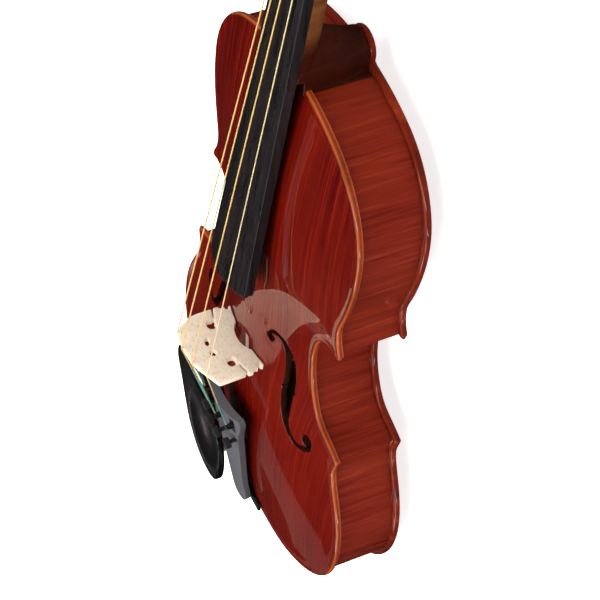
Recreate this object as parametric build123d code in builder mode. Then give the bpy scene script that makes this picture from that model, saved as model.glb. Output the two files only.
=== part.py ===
"""Full-size violin: the box, the neck, the fittings, the strings and the pegs.

Luthier's frame while modelling (mm): X to the treble side, Y from the tail edge to
the scroll, Z out of the front, with z = 0 on the upper face of the front's edge.
Every piece is set down on its back when it is written.
"""
from build123d import *
from math import atan, cos, hypot, sin, sqrt
import os

os.makedirs("parts", exist_ok=True)

# ---------------------------------------------------------------- driving dimensions
BODY_LENGTH = 355.5
EDGE = 4.0                 # thickness of both plates at their edges
RIB_HEIGHT = 32.5
RIB_THICKNESS = 1.4
OVERHANG = 2.8             # plate edge beyond the ribs
LINING = 2.0
LINING_HEIGHT = 7.0
FRONT_ARCH = 12.6          # rise of the front above its edge
BACK_ARCH = 11.0
HOLLOW_GAIN = 1.08         # the inner arch is this much deeper, so plates thin to 3 mm
HOLLOW_STEP = 0.3
ARCH_STEP = 10             # spacing of the points that carry the arched surfaces

RIB_TOP = -EDGE
RIB_FLOOR = -EDGE - RIB_HEIGHT
BACK_FACE = RIB_FLOOR - EDGE
MIDDLE_Y = 284.3           # middle of the whole violin's length
REST = Location((0, -MIDDLE_Y, BACK_ARCH - BACK_FACE))

STOP = 154.8               # bridge line
BOARD_END = 218.5
BOARD_LENGTH = 268.0
BOARD_TOP = 31.27          # height of the board's crest at its lower end
BOARD_SLOPE = 0.122
BOARD_FALL = 0.1075        # slope of the board's flat underside
BOARD_UNDER = 20.6
BOARD_WIDE = 41.7
BOARD_NARROW = 23.9
BOARD_RADIUS = 41.0
NUT_Y = BOARD_END + BOARD_LENGTH
NUT_LENGTH = 5.0

STRING_NAMES = ["g", "d", "a", "e"]
STRING_RADII = [0.42, 0.40, 0.38, 0.32]
STRING_SEAT = 0.12         # clearance left under each string on the bridge and nut
BRIDGE_X = [-16.9, -6.1, 5.9, 16.7]
BRIDGE_Z = [45.2, 47.1, 46.3, 42.2]
NUT_X = [-8.25, -2.75, 2.75, 8.25]
TAIL_X = [-15.0, -5.0, 5.0, 15.0]

# Right half of the outline: lower bout, waist and upper bout between the corners.
LOWER_BOUT = [
    (0, 0), (23.5, 0.4), (46.5, 4), (65.5, 12.6), (84, 26), (97.6, 44.3), (104, 64.6),
    (104.6, 82), (101.5, 99.3), (95.7, 114.6), (90.6, 126), (88.6, 134.6), (90, 142.2),
]
WAIST = [
    (91, 146.8), (81.2, 150.2), (69, 154.6), (60.5, 165.2), (55.7, 177), (53.6, 188.4),
    (53.7, 200.6), (57, 211.5), (63, 217.8), (68.7, 220.4), (73, 220.8), (77.3, 220.2),
]
UPPER_BOUT = [
    (78.2, 223.6), (75.2, 230.2), (73.8, 238.6), (76.4, 250), (79.9, 263.7), (82.4, 279),
    (83, 292.4), (81.6, 306.2), (76.3, 320.7), (66.7, 333.8), (53, 344), (36.6, 350.4),
    (17.4, 354.4), (0, BODY_LENGTH),
]
# Half width of the arching at stations along the body; outside it the edge is flat.
ARCH_STATIONS = [
    (-30, 60), (0, 78), (70, 101), (128, 86), (163, 57), (190, 51), (213, 56), (238, 71),
    (290, 80.5), (355, 66), (390, 50),
]
# Centre line and half width of the right sound hole, upper eye to lower eye.
SOUND_HOLE = [
    (22.0, 184.3, 0.9), (24.8, 187.2, 1.3), (29.5, 187.4, 1.5), (34.2, 184.0, 2.2),
    (38.2, 175.5, 3.3), (40.6, 165.0, 3.9), (41.6, 154.0, 4.2), (43.2, 143.0, 3.9),
    (46.0, 132.5, 2.8), (51.0, 126.3, 2.0), (57.0, 124.3, 1.7), (62.8, 126.6, 1.7),
    (66.6, 131.0, 1.5), (66.6, 135.5, 1.0),
]
UPPER_EYE = (23.0, 181.5, 3.2)
LOWER_EYE = (63.8, 134.3, 3.9)
NICKS = [(37.3, 154.2), (45.9, 156.0)]


def keep(piece, name):
    """Label a finished piece, set it down on the violin's back and write its file."""
    piece.part.label = name
    placed = piece.part.moved(REST)
    placed.label = name
    export_step(placed, f"parts/{name}.step")


def mirrored(points):
    return [(-x, y) for x, y in points]


def inset(points, depths):
    """Points moved to the left of a spline through them, by one depth or one for each."""
    if not isinstance(depths, list):
        depths = [depths] * len(points)
    path = Spline(points, mode=Mode.PRIVATE)
    moved = []
    for point, depth in zip(points, depths):
        heading = path.tangent_at(path.param_at_point(point))
        moved.append((point[0] - heading.Y * depth, point[1] + heading.X * depth))
    return moved


def arch_half_width(y):
    """Smooth half width of the arching at y, by cubic steps between the stations."""
    stations = ARCH_STATIONS
    last = len(stations) - 1
    i = max(k for k in range(last) if stations[k][0] <= y)
    slopes = []
    for k in (i, i + 1):
        before = stations[max(k - 1, 0)]
        after = stations[min(k + 1, last)]
        slopes.append((after[1] - before[1]) / (after[0] - before[0]))
    (y0, w0), (y1, w1) = stations[i], stations[i + 1]
    span = y1 - y0
    t = (y - y0) / span
    blend = t * t * (3 - 2 * t)
    rise = slopes[0] * t * (1 - t) ** 2 - slopes[1] * t * t * (1 - t)
    return w0 + (w1 - w0) * blend + span * rise


def crown(x, y):
    """Height of the arching at (x, y) as a share of its greatest rise."""
    along = min(abs(2 * y / BODY_LENGTH - 1), 1)
    across = min(abs(x) / arch_half_width(y), 1)
    return (1 - along**3.6) ** 1.5 * (1 - across**2) ** 1.5


def arched_face(rise, level):
    """Smooth surface of the arching over the whole body, raised by rise from level."""
    columns = range(-120, 121, ARCH_STEP)
    rows = []
    for y in range(-20, 381, ARCH_STEP):
        rows.append([(x, y, level + rise * crown(x, y)) for x in columns])
    return Face.make_surface_from_array_of_points(rows, tol=0.001)


def board_crest(y):
    return BOARD_TOP - BOARD_SLOPE * (y - BOARD_END)


def board_underside(y):
    return BOARD_UNDER - BOARD_FALL * (y - BOARD_END)


def board_width(y):
    return BOARD_WIDE + (BOARD_NARROW - BOARD_WIDE) * (y - BOARD_END) / BOARD_LENGTH


# ---------------------------------------------------------------- outline sketches
with BuildSketch() as outline:
    with BuildLine():
        Spline(*(mirrored(LOWER_BOUT[:0:-1]) + LOWER_BOUT))
        Line(LOWER_BOUT[-1], WAIST[0])
        Spline(*WAIST)
        Line(WAIST[-1], UPPER_BOUT[0])
        Spline(*(UPPER_BOUT + mirrored(UPPER_BOUT[-2::-1])))
        Line(mirrored(UPPER_BOUT)[0], mirrored(WAIST)[-1])
        Spline(*mirrored(WAIST[::-1]))
        Line(mirrored(WAIST)[0], mirrored(LOWER_BOUT)[-1])
    make_face()

with BuildSketch() as sound_hole:
    middle_line = [(x, y) for x, y, _ in SOUND_HOLE]
    half_widths = [half for _, _, half in SOUND_HOLE]
    left_side = inset(middle_line, half_widths)
    right_side = inset(middle_line, [-half for half in half_widths])
    with BuildLine():
        Spline(*left_side)
        Line(left_side[-1], right_side[-1])
        Spline(*right_side[::-1])
        Line(right_side[0], left_side[0])
    make_face()
    for x, y, radius in (UPPER_EYE, LOWER_EYE):
        with Locations((x, y)):
            Circle(radius)
    for spot in NICKS:
        with Locations(spot):
            RegularPolygon(1.5, 3)

# ---------------------------------------------------------------- front and back
MORTISE_WIDTH = 32.0
MORTISE_Y = 349.0


def cut_mortise():
    """Cut the pocket for the neck's foot out of the piece being built."""
    with Locations((0, MORTISE_Y + 10, (RIB_FLOOR + 8) / 2)):
        Box(MORTISE_WIDTH, 20, 8 - RIB_FLOOR, mode=Mode.SUBTRACT)


with BuildPart() as top_plate:
    with BuildSketch(Plane.XY.offset(-EDGE)):
        add(outline.sketch)
    extrude(amount=EDGE + FRONT_ARCH + 1)
    extrude(arched_face(FRONT_ARCH, 0), amount=40, dir=(0, 0, 1), mode=Mode.SUBTRACT)
    inner = arched_face(FRONT_ARCH * HOLLOW_GAIN, -EDGE - HOLLOW_STEP)
    extrude(inner, amount=40, dir=(0, 0, -1), mode=Mode.SUBTRACT)
    with BuildSketch(Plane.XY.offset(-EDGE - 1)):
        add(sound_hole.sketch)
        mirror(about=Plane.YZ)
    extrude(amount=30, mode=Mode.SUBTRACT)
    cut_mortise()
keep(top_plate, "top_plate")

BUTTON_RADIUS = 10.8

with BuildPart() as back_plate:
    with BuildSketch(Plane.XY.offset(BACK_FACE - BACK_ARCH - 1)):
        add(outline.sketch)
        with Locations((0, BODY_LENGTH + 2)):
            Circle(BUTTON_RADIUS)
    extrude(amount=EDGE + BACK_ARCH + 1)
    extrude(arched_face(-BACK_ARCH, BACK_FACE), amount=40, dir=(0, 0, -1), mode=Mode.SUBTRACT)
    inner = arched_face(-BACK_ARCH * HOLLOW_GAIN, RIB_FLOOR + HOLLOW_STEP)
    extrude(inner, amount=40, dir=(0, 0, 1), mode=Mode.SUBTRACT)
keep(back_plate, "back_plate")

# ---------------------------------------------------------------- ribs, blocks, linings
SIDES = {"treble": 1, "bass": -1}
RIB_OUT = OVERHANG
RIB_IN = OVERHANG + RIB_THICKNESS
LINING_OUT = RIB_IN + 0.6
BUTTON_BORE = 4.2
BUTTON_Z = RIB_FLOOR + RIB_HEIGHT / 2
WHOLE_LOWER = mirrored(LOWER_BOUT[:0:-1]) + LOWER_BOUT
WHOLE_UPPER = UPPER_BOUT + mirrored(UPPER_BOUT[-2::-1])


def lower_tip(depth):
    """Where the waist and lower bout faces meet, at a depth inside the outline."""
    return (90.6 - 1.14 * depth, 146.9 - 0.71 * depth)


def upper_tip(depth):
    return (79.5 - 1.5 * depth, 220.4 + depth)


def lower_run(depth):
    middle = inset(WHOLE_LOWER, depth)[1:-1]
    return mirrored([lower_tip(depth)]) + middle + [lower_tip(depth)]


def waist_run(depth):
    return [lower_tip(depth)] + inset(WAIST, depth)[1:-2] + [upper_tip(depth)]


def upper_run(depth):
    middle = inset(WHOLE_UPPER, depth)[1:-1]
    return [upper_tip(depth)] + middle + mirrored([upper_tip(depth)])


def strip(outer, inner, floor):
    """Sketch of a thin strip between two runs of points, at height floor."""
    with BuildSketch(Plane.XY.offset(floor)) as band:
        with BuildLine():
            Spline(*outer)
            Line(outer[-1], inner[-1])
            Spline(*inner[::-1])
            Line(inner[0], outer[0])
        make_face()
    return band.sketch


def cut_button_hole():
    """Bore the piece being built for the end button."""
    with Locations(Location((0, 10, BUTTON_Z), (90, 0, 0))):
        Cylinder(BUTTON_BORE, 40, mode=Mode.SUBTRACT)


with BuildPart() as rib_lower:
    extrude(strip(lower_run(RIB_OUT), lower_run(RIB_IN), RIB_FLOOR), amount=RIB_HEIGHT)
    cut_button_hole()
keep(rib_lower, "rib_lower")

for side_name, side in SIDES.items():
    with BuildPart() as rib_waist:
        extrude(strip(waist_run(RIB_OUT), waist_run(RIB_IN), RIB_FLOOR), amount=RIB_HEIGHT)
        if side < 0:
            mirror(about=Plane.YZ, mode=Mode.REPLACE)
    keep(rib_waist, f"rib_waist_{side_name}")

    with BuildPart() as rib_upper:
        extrude(strip(upper_run(RIB_OUT), upper_run(RIB_IN), RIB_FLOOR), amount=RIB_HEIGHT)
        with Locations((side * (MORTISE_WIDTH / 2 - 60), 290, RIB_FLOOR + 20)):
            Box(120, 150, 60, mode=Mode.SUBTRACT)
    keep(rib_upper, f"rib_upper_{side_name}")

BLOCK_FIT = RIB_IN + 0.9
lower_side = inset(LOWER_BOUT, BLOCK_FIT)[10:12] + [lower_tip(BLOCK_FIT)]
lower_waist = [lower_tip(BLOCK_FIT)] + inset(WAIST, BLOCK_FIT)[1:3]
upper_waist = inset(WAIST, BLOCK_FIT)[8:10] + [upper_tip(BLOCK_FIT)]
upper_side = [upper_tip(BLOCK_FIT)] + inset(UPPER_BOUT, BLOCK_FIT)[1:3]

for level, first, second in (
    ("lower", lower_side, lower_waist),
    ("upper", upper_waist, upper_side),
):
    for side_name, side in SIDES.items():
        with BuildPart() as corner_block:
            with BuildSketch(Plane.XY.offset(RIB_FLOOR)):
                with BuildLine():
                    Spline(*first)
                    Spline(*second)
                    Line(second[-1], first[0])
                make_face()
            extrude(amount=RIB_HEIGHT)
            if side < 0:
                mirror(about=Plane.YZ, mode=Mode.REPLACE)
        keep(corner_block, f"corner_block_{level}_{side_name}")

END_BLOCK = [(-22, 4.8), (22, 4.8), (22, 20), (-22, 20)]
NECK_BLOCK = [(-27, 334), (27, 334), (27, 347.6), (16, 350), (-16, 350), (-27, 347.6)]

with BuildPart() as end_block:
    with BuildSketch(Plane.XY.offset(RIB_FLOOR)):
        with BuildLine():
            Polyline(*END_BLOCK, close=True)
        make_face()
    extrude(amount=RIB_HEIGHT)
    cut_button_hole()
keep(end_block, "end_block")

with BuildPart() as neck_block:
    with BuildSketch(Plane.XY.offset(RIB_FLOOR)):
        with BuildLine():
            Polyline(*NECK_BLOCK, close=True)
        make_face()
    extrude(amount=RIB_HEIGHT)
    cut_mortise()
keep(neck_block, "neck_block")

LINING_SPANS = ((LOWER_BOUT, 1, 10), (WAIST, 3, 8), (UPPER_BOUT, 3, 12))

for name, floor in (("linings_top", RIB_TOP - LINING_HEIGHT), ("linings_back", RIB_FLOOR)):
    with BuildPart() as linings:
        for curve, first_point, stop_point in LINING_SPANS:
            outer = inset(curve, LINING_OUT)[first_point:stop_point]
            inner = inset(curve, LINING_OUT + LINING)[first_point:stop_point]
            extrude(strip(outer, inner, floor), amount=LINING_HEIGHT)
        mirror(about=Plane.YZ)
    keep(linings, name)

# ---------------------------------------------------------------- bar and post
BAR_X = -15.5
BAR_WIDTH = 5.5
BAR_ENDS = (42, 312)
BAR_DEPTH = 11.0
POST_SPOT = (17.5, 149.0)
POST_RADIUS = 3.1

with BuildPart() as bass_bar:
    with BuildSketch(Plane.YZ.offset(BAR_X - BAR_WIDTH / 2)):
        with BuildLine():
            low, high = BAR_ENDS
            middle = (low + high) / 2
            under = HOLLOW_GAIN * FRONT_ARCH - EDGE - BAR_DEPTH
            Line((low, 12), (low, 1))
            Spline((low, 1), (middle, under), (high, 1))
            Polyline((high, 1), (high, 12), (low, 12))
        make_face()
    extrude(amount=BAR_WIDTH)
    roof = arched_face(FRONT_ARCH * HOLLOW_GAIN, -EDGE - HOLLOW_STEP)
    extrude(roof, amount=40, dir=(0, 0, 1), mode=Mode.SUBTRACT)
keep(bass_bar, "bass_bar")

with BuildPart() as sound_post:
    with BuildSketch(Plane.XY.offset(BACK_FACE - BACK_ARCH)):
        with Locations(POST_SPOT):
            Circle(POST_RADIUS)
    extrude(amount=70)
    extrude(roof, amount=60, dir=(0, 0, 1), mode=Mode.SUBTRACT)
    ground = arched_face(-BACK_ARCH * HOLLOW_GAIN, RIB_FLOOR + HOLLOW_STEP)
    extrude(ground, amount=60, dir=(0, 0, -1), mode=Mode.SUBTRACT)
keep(sound_post, "sound_post")

# ---------------------------------------------------------------- neck, pegbox and scroll
NECK_TILT = atan(BOARD_SLOPE)
GLUE_LINE = 0.03           # gap kept between the shaft and the board
SHAFT_STATIONS = [(382.0, 13.6), (430.0, 11.6), (480.0, 10.4)]   # y, depth under the board
BOARD_SEAT = Plane(origin=(0, 0, board_underside(0) - GLUE_LINE), x_dir=(1, 0, 0),
                   z_dir=(0, BOARD_FALL, 1))
HEEL_SLICES = [(BOARD_SEAT, 31.9, 392.5), (Plane.XY.offset(-6), 31.4, 383.5),
               (Plane.XY.offset(-18), 28.5, 374.5), (Plane.XY.offset(-30), 24.0, 369.0),
               (Plane.XY.offset(RIB_FLOOR), 21.0, 367.5)]         # level, width, nose y
CAVITY = (6.0, 62.5)       # peg box opening, measured from the nut's front edge
PEG_STATIONS = {"g": 14.0, "e": 28.0, "d": 42.0, "a": 55.5}
PEG_SIDES = {"g": -1, "d": -1, "a": 1, "e": 1}
PEG_TAPER = 1 / 30
PEG_RADIUS = 3.9           # at the cheek where the peg enters
BOX_HALF = 12.8
VOLUTES = [(82, -19.3, 20.6, 8.5), (81, -20.3, 14.0, 13.5), (82.5, -19.8, 8.2, 18.0),
           (83, -19.8, 4.2, 21.0)]                                  # s, height, radius, half width


def neck_point(x, s, h):
    """Point at distance s past the nut along the board and height h over its crest."""
    return (
        x,
        NUT_Y + s * cos(NECK_TILT) + h * sin(NECK_TILT),
        board_crest(NUT_Y) - s * sin(NECK_TILT) + h * cos(NECK_TILT),
    )


def neck_plane(x, s, h, facing):
    """Plane at a point of the neck: facing along it ("up the neck") or to one side."""
    if facing == "up the neck":
        along = (0, cos(NECK_TILT), -sin(NECK_TILT))
        return Plane(origin=neck_point(x, s, h), x_dir=(1, 0, 0), z_dir=along)
    return Plane(origin=neck_point(x, s, h), x_dir=(0, 1, 0), z_dir=(facing, 0, 0))


def box_axis(s):
    """Height of the middle of the peg box under the board's crest line."""
    return -17.0 - 0.19 * s


def peg_radius(distance):
    return PEG_RADIUS - PEG_TAPER * distance / 2


with BuildPart() as neck_and_scroll:
    for level, width, nose in HEEL_SLICES:
        with BuildSketch(level):
            with BuildLine():
                half = width / 2
                Polyline((-half, nose - 16), (-half, MORTISE_Y + 3.5), (half, MORTISE_Y + 3.5),
                         (half, nose - 16))
                Spline((half, nose - 16), (half * 0.72, nose - 4), (0, nose),
                       (-half * 0.72, nose - 4), (-half, nose - 16))
            make_face()
    loft()
    with BuildSketch(Plane.YZ.offset(0.05 - MORTISE_WIDTH / 2)):
        with BuildLine():
            near, far = MORTISE_Y + 0.05, MORTISE_Y + 9
            Polyline((near, RIB_FLOOR), (far, RIB_FLOOR), (far, board_underside(far) - GLUE_LINE),
                     (near, board_underside(near) - GLUE_LINE), close=True)
        make_face()
    extrude(amount=MORTISE_WIDTH - 0.1)
    for y, depth in SHAFT_STATIONS:
        with BuildSketch(Plane.XZ.offset(-y)):
            with BuildLine():
                half = board_width(y) / 2
                roof_z = board_underside(y) - GLUE_LINE
                Line((-half, roof_z), (half, roof_z))
                Spline((half, roof_z), (half * 0.8, roof_z - depth * 0.62),
                       (0, roof_z - depth), (-half * 0.8, roof_z - depth * 0.62),
                       (-half, roof_z))
            make_face()
    loft()
    box_stations = ((-6.6, 24.2, -8.4, -21.0), (1, 25.6, -7.4, -29.0), (35, 23.0, -11.5, -37.5),
                    (66, 18.0, -13.0, -39.0))
    for s, width, front, back in box_stations:
        with BuildSketch(neck_plane(0, s, (front + back) / 2, "up the neck")):
            RectangleRounded(width, front - back, 3)
    loft(ruled=True)
    for s, h, radius, half_width in VOLUTES:
        with BuildSketch(neck_plane(-half_width, s, h, 1)):
            Circle(radius)
        extrude(amount=2 * half_width)
    for s, width, floor in ((CAVITY[0], 15.5, -24.5), (CAVITY[1], 11.0, -34.0)):
        with BuildSketch(neck_plane(0, s, floor / 2 + 5, "up the neck")):
            Rectangle(width, 10 - floor)
    loft(mode=Mode.SUBTRACT)
    for string, s in PEG_STATIONS.items():
        side = PEG_SIDES[string]
        with Locations(neck_plane(side * BOX_HALF, s, box_axis(s), -side)):
            Cone(peg_radius(0) + 0.05, peg_radius(40) + 0.05, 40,
                 align=(Align.CENTER, Align.CENTER, Align.MIN), mode=Mode.SUBTRACT)
keep(neck_and_scroll, "neck_and_scroll")

with BuildPart() as fingerboard:
    for y in (BOARD_END, NUT_Y):
        half = board_width(y) / 2
        sag = BOARD_RADIUS - sqrt(BOARD_RADIUS**2 - half**2)
        crest = board_crest(y)
        under = board_underside(y)
        with BuildSketch(Plane.XZ.offset(-y)):
            with BuildLine():
                Polyline((half, crest - sag), (half, under), (-half, under), (-half, crest - sag))
                ThreePointArc((-half, crest - sag), (0, crest), (half, crest - sag))
            make_face()
    loft(ruled=True)
keep(fingerboard, "fingerboard")

with BuildPart() as nut:
    with BuildSketch(Plane.XZ.offset(-NUT_Y)):
        half = BOARD_NARROW / 2
        crest = board_crest(NUT_Y) + 0.35
        with BuildLine():
            Polyline((half, crest - 2.2), (half, board_underside(491) - 0.02),
                     (-half, board_underside(491) - 0.02), (-half, crest - 2.2))
            ThreePointArc((-half, crest - 2.2), (0, crest), (half, crest - 2.2))
        make_face()
    extrude(amount=-NUT_LENGTH)
    fillet(nut.faces().sort_by(Axis.Y)[-1].edges().sort_by(Axis.Z)[-1], 1.5)
keep(nut, "nut")

# ---------------------------------------------------------------- bridge
BRIDGE_THICK = (4.4, 1.5)  # at the feet and at the crown
FOOT_Z = FRONT_ARCH * crown(19, STOP) - 0.6
BRIDGE_HALF = [
    (20.8, 0.2), (20.9, 1.8), (15.5, 3.6), (12.6, 6.6), (14.6, 10.6), (19.3, 12.2), (20.3, 15.6),
    (17.4, 17.6), (16.9, 20.2), (20.0, 23.0),
]

with BuildPart() as bridge:
    with BuildSketch(Plane.XZ.offset(-STOP)):
        crown_points = [
            (x, z - r - STRING_SEAT) for x, z, r in zip(BRIDGE_X, BRIDGE_Z, STRING_RADII)
        ]
        left = [(-x, z + FOOT_Z) for x, z in BRIDGE_HALF]
        right = [(x, z + FOOT_Z) for x, z in BRIDGE_HALF]
        with BuildLine():
            Polyline(*right)
            Polyline(right[-1], crown_points[3])
            Spline(*crown_points[::-1])
            Polyline(crown_points[0], left[-1])
            Polyline(*left[::-1])
            Polyline(left[0], (-10.5, FOOT_Z + 1.2))
            ThreePointArc((-10.5, FOOT_Z + 1.2), (0, FOOT_Z + 10.6), (10.5, FOOT_Z + 1.2))
            Polyline((10.5, FOOT_Z + 1.2), right[0])
        make_face()
        with Locations((0, FOOT_Z + 20.5)):
            Circle(3.0, mode=Mode.SUBTRACT)
        with Locations((0, FOOT_Z + 25)):
            Rectangle(1.6, 5, mode=Mode.SUBTRACT)
        with Locations((13.2, FOOT_Z + 16.5), (-13.2, FOOT_Z + 16.5)):
            Ellipse(3.0, 1.7, mode=Mode.SUBTRACT)
    extrude(amount=BRIDGE_THICK[0] / 2, both=True)
    with BuildSketch(Plane.YZ.offset(-30)):
        foot, top = (half / 2 for half in BRIDGE_THICK)
        with BuildLine():
            Polyline((STOP - foot, FOOT_Z - 5), (STOP + foot, FOOT_Z - 5),
                     (STOP + top, FOOT_Z + 38), (STOP - foot, FOOT_Z + 38), close=True)
        make_face()
    extrude(amount=60, mode=Mode.INTERSECT)
    extrude(arched_face(FRONT_ARCH, 0), amount=40, dir=(0, 0, -1), mode=Mode.SUBTRACT)
keep(bridge, "bridge")

with BuildPart() as saddle:
    with Locations((0, 3.0, 1.1)):
        Box(36, 6, 2.0)
    fillet(saddle.edges().filter_by(Axis.X).group_by(Axis.Z)[-1], 0.9)
    extrude(arched_face(FRONT_ARCH, 0.02), amount=40, dir=(0, 0, -1), mode=Mode.SUBTRACT)
keep(saddle, "saddle")

# ---------------------------------------------------------------- tailpiece and tuners
TAIL_TOP = (106.0, 27.4)   # y and height of the crest at the wide end
TAIL_SLOPE = 0.19
TAIL_LENGTH = 109.0
TAIL_RADIUS = 44.0
TAIL_WALL = (5.5, 3.1)     # thickness at the wide and at the narrow end
TAIL_PLAN = [(20.5, 0), (21.2, -3), (19.2, -14), (16.4, -32), (13.6, -60), (11.6, -88),
             (10.6, -102), (6.5, -108.2), (0, -TAIL_LENGTH)]
tail_slant = hypot(1, TAIL_SLOPE)
TAIL = Plane(origin=(0, TAIL_TOP[0], TAIL_TOP[1]), x_dir=(1, 0, 0),
             z_dir=(0, -TAIL_SLOPE / tail_slant, 1 / tail_slant))
SLOT = (3.4, -17.0, -3.5)  # width, ends
PIVOT = (-9.0, -3.0)       # along the tailpiece and below its top face
SCREW_V = -25.0
SCREW_RADIUS = 1.3
HEAD_RADIUS = 3.4
HEAD_HEIGHT = 3.6
HEAD_LIFT = 3.6
LEVER_WIDTH = 2.6


def tail_sag(x):
    """Drop of the tailpiece's crowned top from its crest."""
    return TAIL_RADIUS - sqrt(TAIL_RADIUS**2 - x**2)


def tail_point(x, v, h):
    """Point of the tailpiece: v along it from the wide end, h over its crest."""
    return (
        x,
        TAIL_TOP[0] + (v + h * -TAIL_SLOPE) / tail_slant,
        TAIL_TOP[1] + (v * TAIL_SLOPE + h) / tail_slant,
    )


with BuildPart() as tailpiece:
    for v, wall in ((2.0, TAIL_WALL[0]), (-TAIL_LENGTH - 2, TAIL_WALL[1])):
        with BuildSketch(Plane(origin=tail_point(0, v, 0), x_dir=(1, 0, 0), z_dir=-TAIL.y_dir)):
            with BuildLine():
                edge = tail_sag(24)
                ThreePointArc((-24, -edge), (0, 0), (24, -edge))
                Line((24, -edge), (24, -edge - wall * 0.5))
                ThreePointArc((24, -edge - wall * 0.5), (0, -wall),
                              (-24, -edge - wall * 0.5))
                Line((-24, -edge - wall * 0.5), (-24, -edge))
            make_face()
    loft(ruled=True)
    with BuildSketch(TAIL.offset(-20)):
        with BuildLine():
            Line((-TAIL_PLAN[0][0], 0), TAIL_PLAN[0])
            Spline(*TAIL_PLAN, *[(-x, v) for x, v in TAIL_PLAN[-2::-1]])
        make_face()
    extrude(amount=30, mode=Mode.INTERSECT)
    with BuildSketch(TAIL.offset(-20)):
        width, far, near = SLOT
        for x in TAIL_X:
            with Locations((x, (far + near) / 2)):
                Rectangle(width, near - far)
            with Locations((x, SCREW_V)):
                Circle(SCREW_RADIUS + 0.05)
    extrude(amount=30, mode=Mode.SUBTRACT)
keep(tailpiece, "tailpiece")

# ---------------------------------------------------------------- chin rest
CHIN_PLAN = [
    (-16.5, 16), (-15.5, 2), (-19, -10), (-30, -16), (-47, -17), (-63, -10), (-75, 4),
    (-86, 21), (-92, 33), (-88, 43), (-76, 44), (-60, 41), (-45, 39), (-31, 35), (-21, 27),
]
CHIN_UNDER = 6.4
CHIN_TILT = 4.0            # degrees down towards the bass side
CHIN_CUP = 95.0            # radius of the cup
CHIN_CENTRE = (-48, 15)

with BuildPart() as chin_rest:
    with BuildSketch(Plane.XY.offset(CHIN_UNDER)):
        with BuildLine():
            Spline(*CHIN_PLAN, periodic=True)
        make_face()
    extrude(amount=14)
    with Locations(Location((*CHIN_CENTRE, 12 + 20), (0, -CHIN_TILT, 0))):
        Box(160, 160, 40, mode=Mode.SUBTRACT)
    with Locations((CHIN_CENTRE[0], CHIN_CENTRE[1], 9 + CHIN_CUP)):
        Sphere(CHIN_CUP, mode=Mode.SUBTRACT)
keep(chin_rest, "chin_rest")

CLAMP_SPOTS = [(-36, -6.5), (-62, 1.0)]
BARREL_SPAN = (-28.0, -8.0)
BARREL_RADIUS = 3.2
CLAMP_ROD = 1.5
FOOT_TOP = BACK_FACE - 2.5
FOOT_PLATE = 2.2
CORK = 1.2
FOOT_PLAN = [(-30, -9), (-42, -10), (-68, -2), (-72, 6), (-62, 17), (-46, 13), (-32, 7)]
CORK_PLAN = [(-34, 1), (-66, 9), (-60, 16), (-46, 12), (-34, 6.5)]

with BuildPart() as chin_rest_cork:
    for x, y in ((-38, 6.5), (-60, 15)):
        with Locations((x, y, 3.55)):
            Box(17, 9, 5.5)
    extrude(arched_face(FRONT_ARCH, 0.1), amount=40, dir=(0, 0, -1), mode=Mode.SUBTRACT)
keep(chin_rest_cork, "chin_rest_cork")

with BuildPart() as clamp_posts:
    for x, y in CLAMP_SPOTS:
        with BuildSketch(Plane.XY.offset(-14)):
            with Locations((x, y)):
                Circle(CLAMP_ROD)
        extrude(amount=14 + CHIN_UNDER)
keep(clamp_posts, "clamp_posts")

for number, (x, y) in enumerate(CLAMP_SPOTS, start=1):
    low, high = BARREL_SPAN
    with BuildPart() as clamp_barrel:
        with BuildSketch(Plane.XY.offset(low)):
            with Locations((x, y)):
                Circle(BARREL_RADIUS)
                Circle(CLAMP_ROD + 0.05, mode=Mode.SUBTRACT)
        extrude(amount=high - low)
        with Locations((x, y, (low + high) / 2)):
            Cylinder(0.9, 8, rotation=(90, 0, 30 * number), mode=Mode.SUBTRACT)
    keep(clamp_barrel, f"clamp_barrel_{number}")

with BuildPart() as clamp_foot:
    for x, y in CLAMP_SPOTS:
        with BuildSketch(Plane.XY.offset(FOOT_TOP - FOOT_PLATE / 2)):
            with Locations((x, y)):
                Circle(CLAMP_ROD)
        extrude(amount=FOOT_PLATE / 2 - 20.5 - FOOT_TOP)
    with BuildSketch(Plane.XY.offset(FOOT_TOP - FOOT_PLATE)):
        with BuildLine():
            Polyline(*FOOT_PLAN, close=True)
        make_face()
        fillet(vertices(), 2.5)
    extrude(amount=FOOT_PLATE)
keep(clamp_foot, "clamp_foot")

with BuildPart() as clamp_foot_cork:
    with BuildSketch(Plane.XY.offset(FOOT_TOP)):
        with BuildLine():
            Polyline(*CORK_PLAN, close=True)
        make_face()
    extrude(amount=CORK)
keep(clamp_foot_cork, "clamp_foot_cork")

# ---------------------------------------------------------------- end button and tail loop
BUTTON_NECK = 3.3
KNOB_RADIUS = 7.0
KNOB_LENGTH = 6.0

with BuildPart() as end_button:
    with BuildSketch(Plane.YZ):
        with BuildLine():
            Polyline((20.5, BUTTON_Z), (20.5, BUTTON_Z + 3.0), (2.4, BUTTON_Z + 3.9),
                     (2.4, BUTTON_Z + 6.2), (0.8, BUTTON_Z + 6.2),
                     (-1.2, BUTTON_Z + BUTTON_NECK + 1), (-3.2, BUTTON_Z + BUTTON_NECK + 1),
                     (-4.6, BUTTON_Z + KNOB_RADIUS), (-4.6 - KNOB_LENGTH, BUTTON_Z + KNOB_RADIUS),
                     (-12.6, BUTTON_Z + 3), (-12.6, BUTTON_Z), close=True)
        make_face()
    revolve(axis=Axis((0, 0, BUTTON_Z), (0, 1, 0)))
keep(end_button, "end_button")

GUT_RADIUS = 0.9
GUT_X = 3.2

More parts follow.
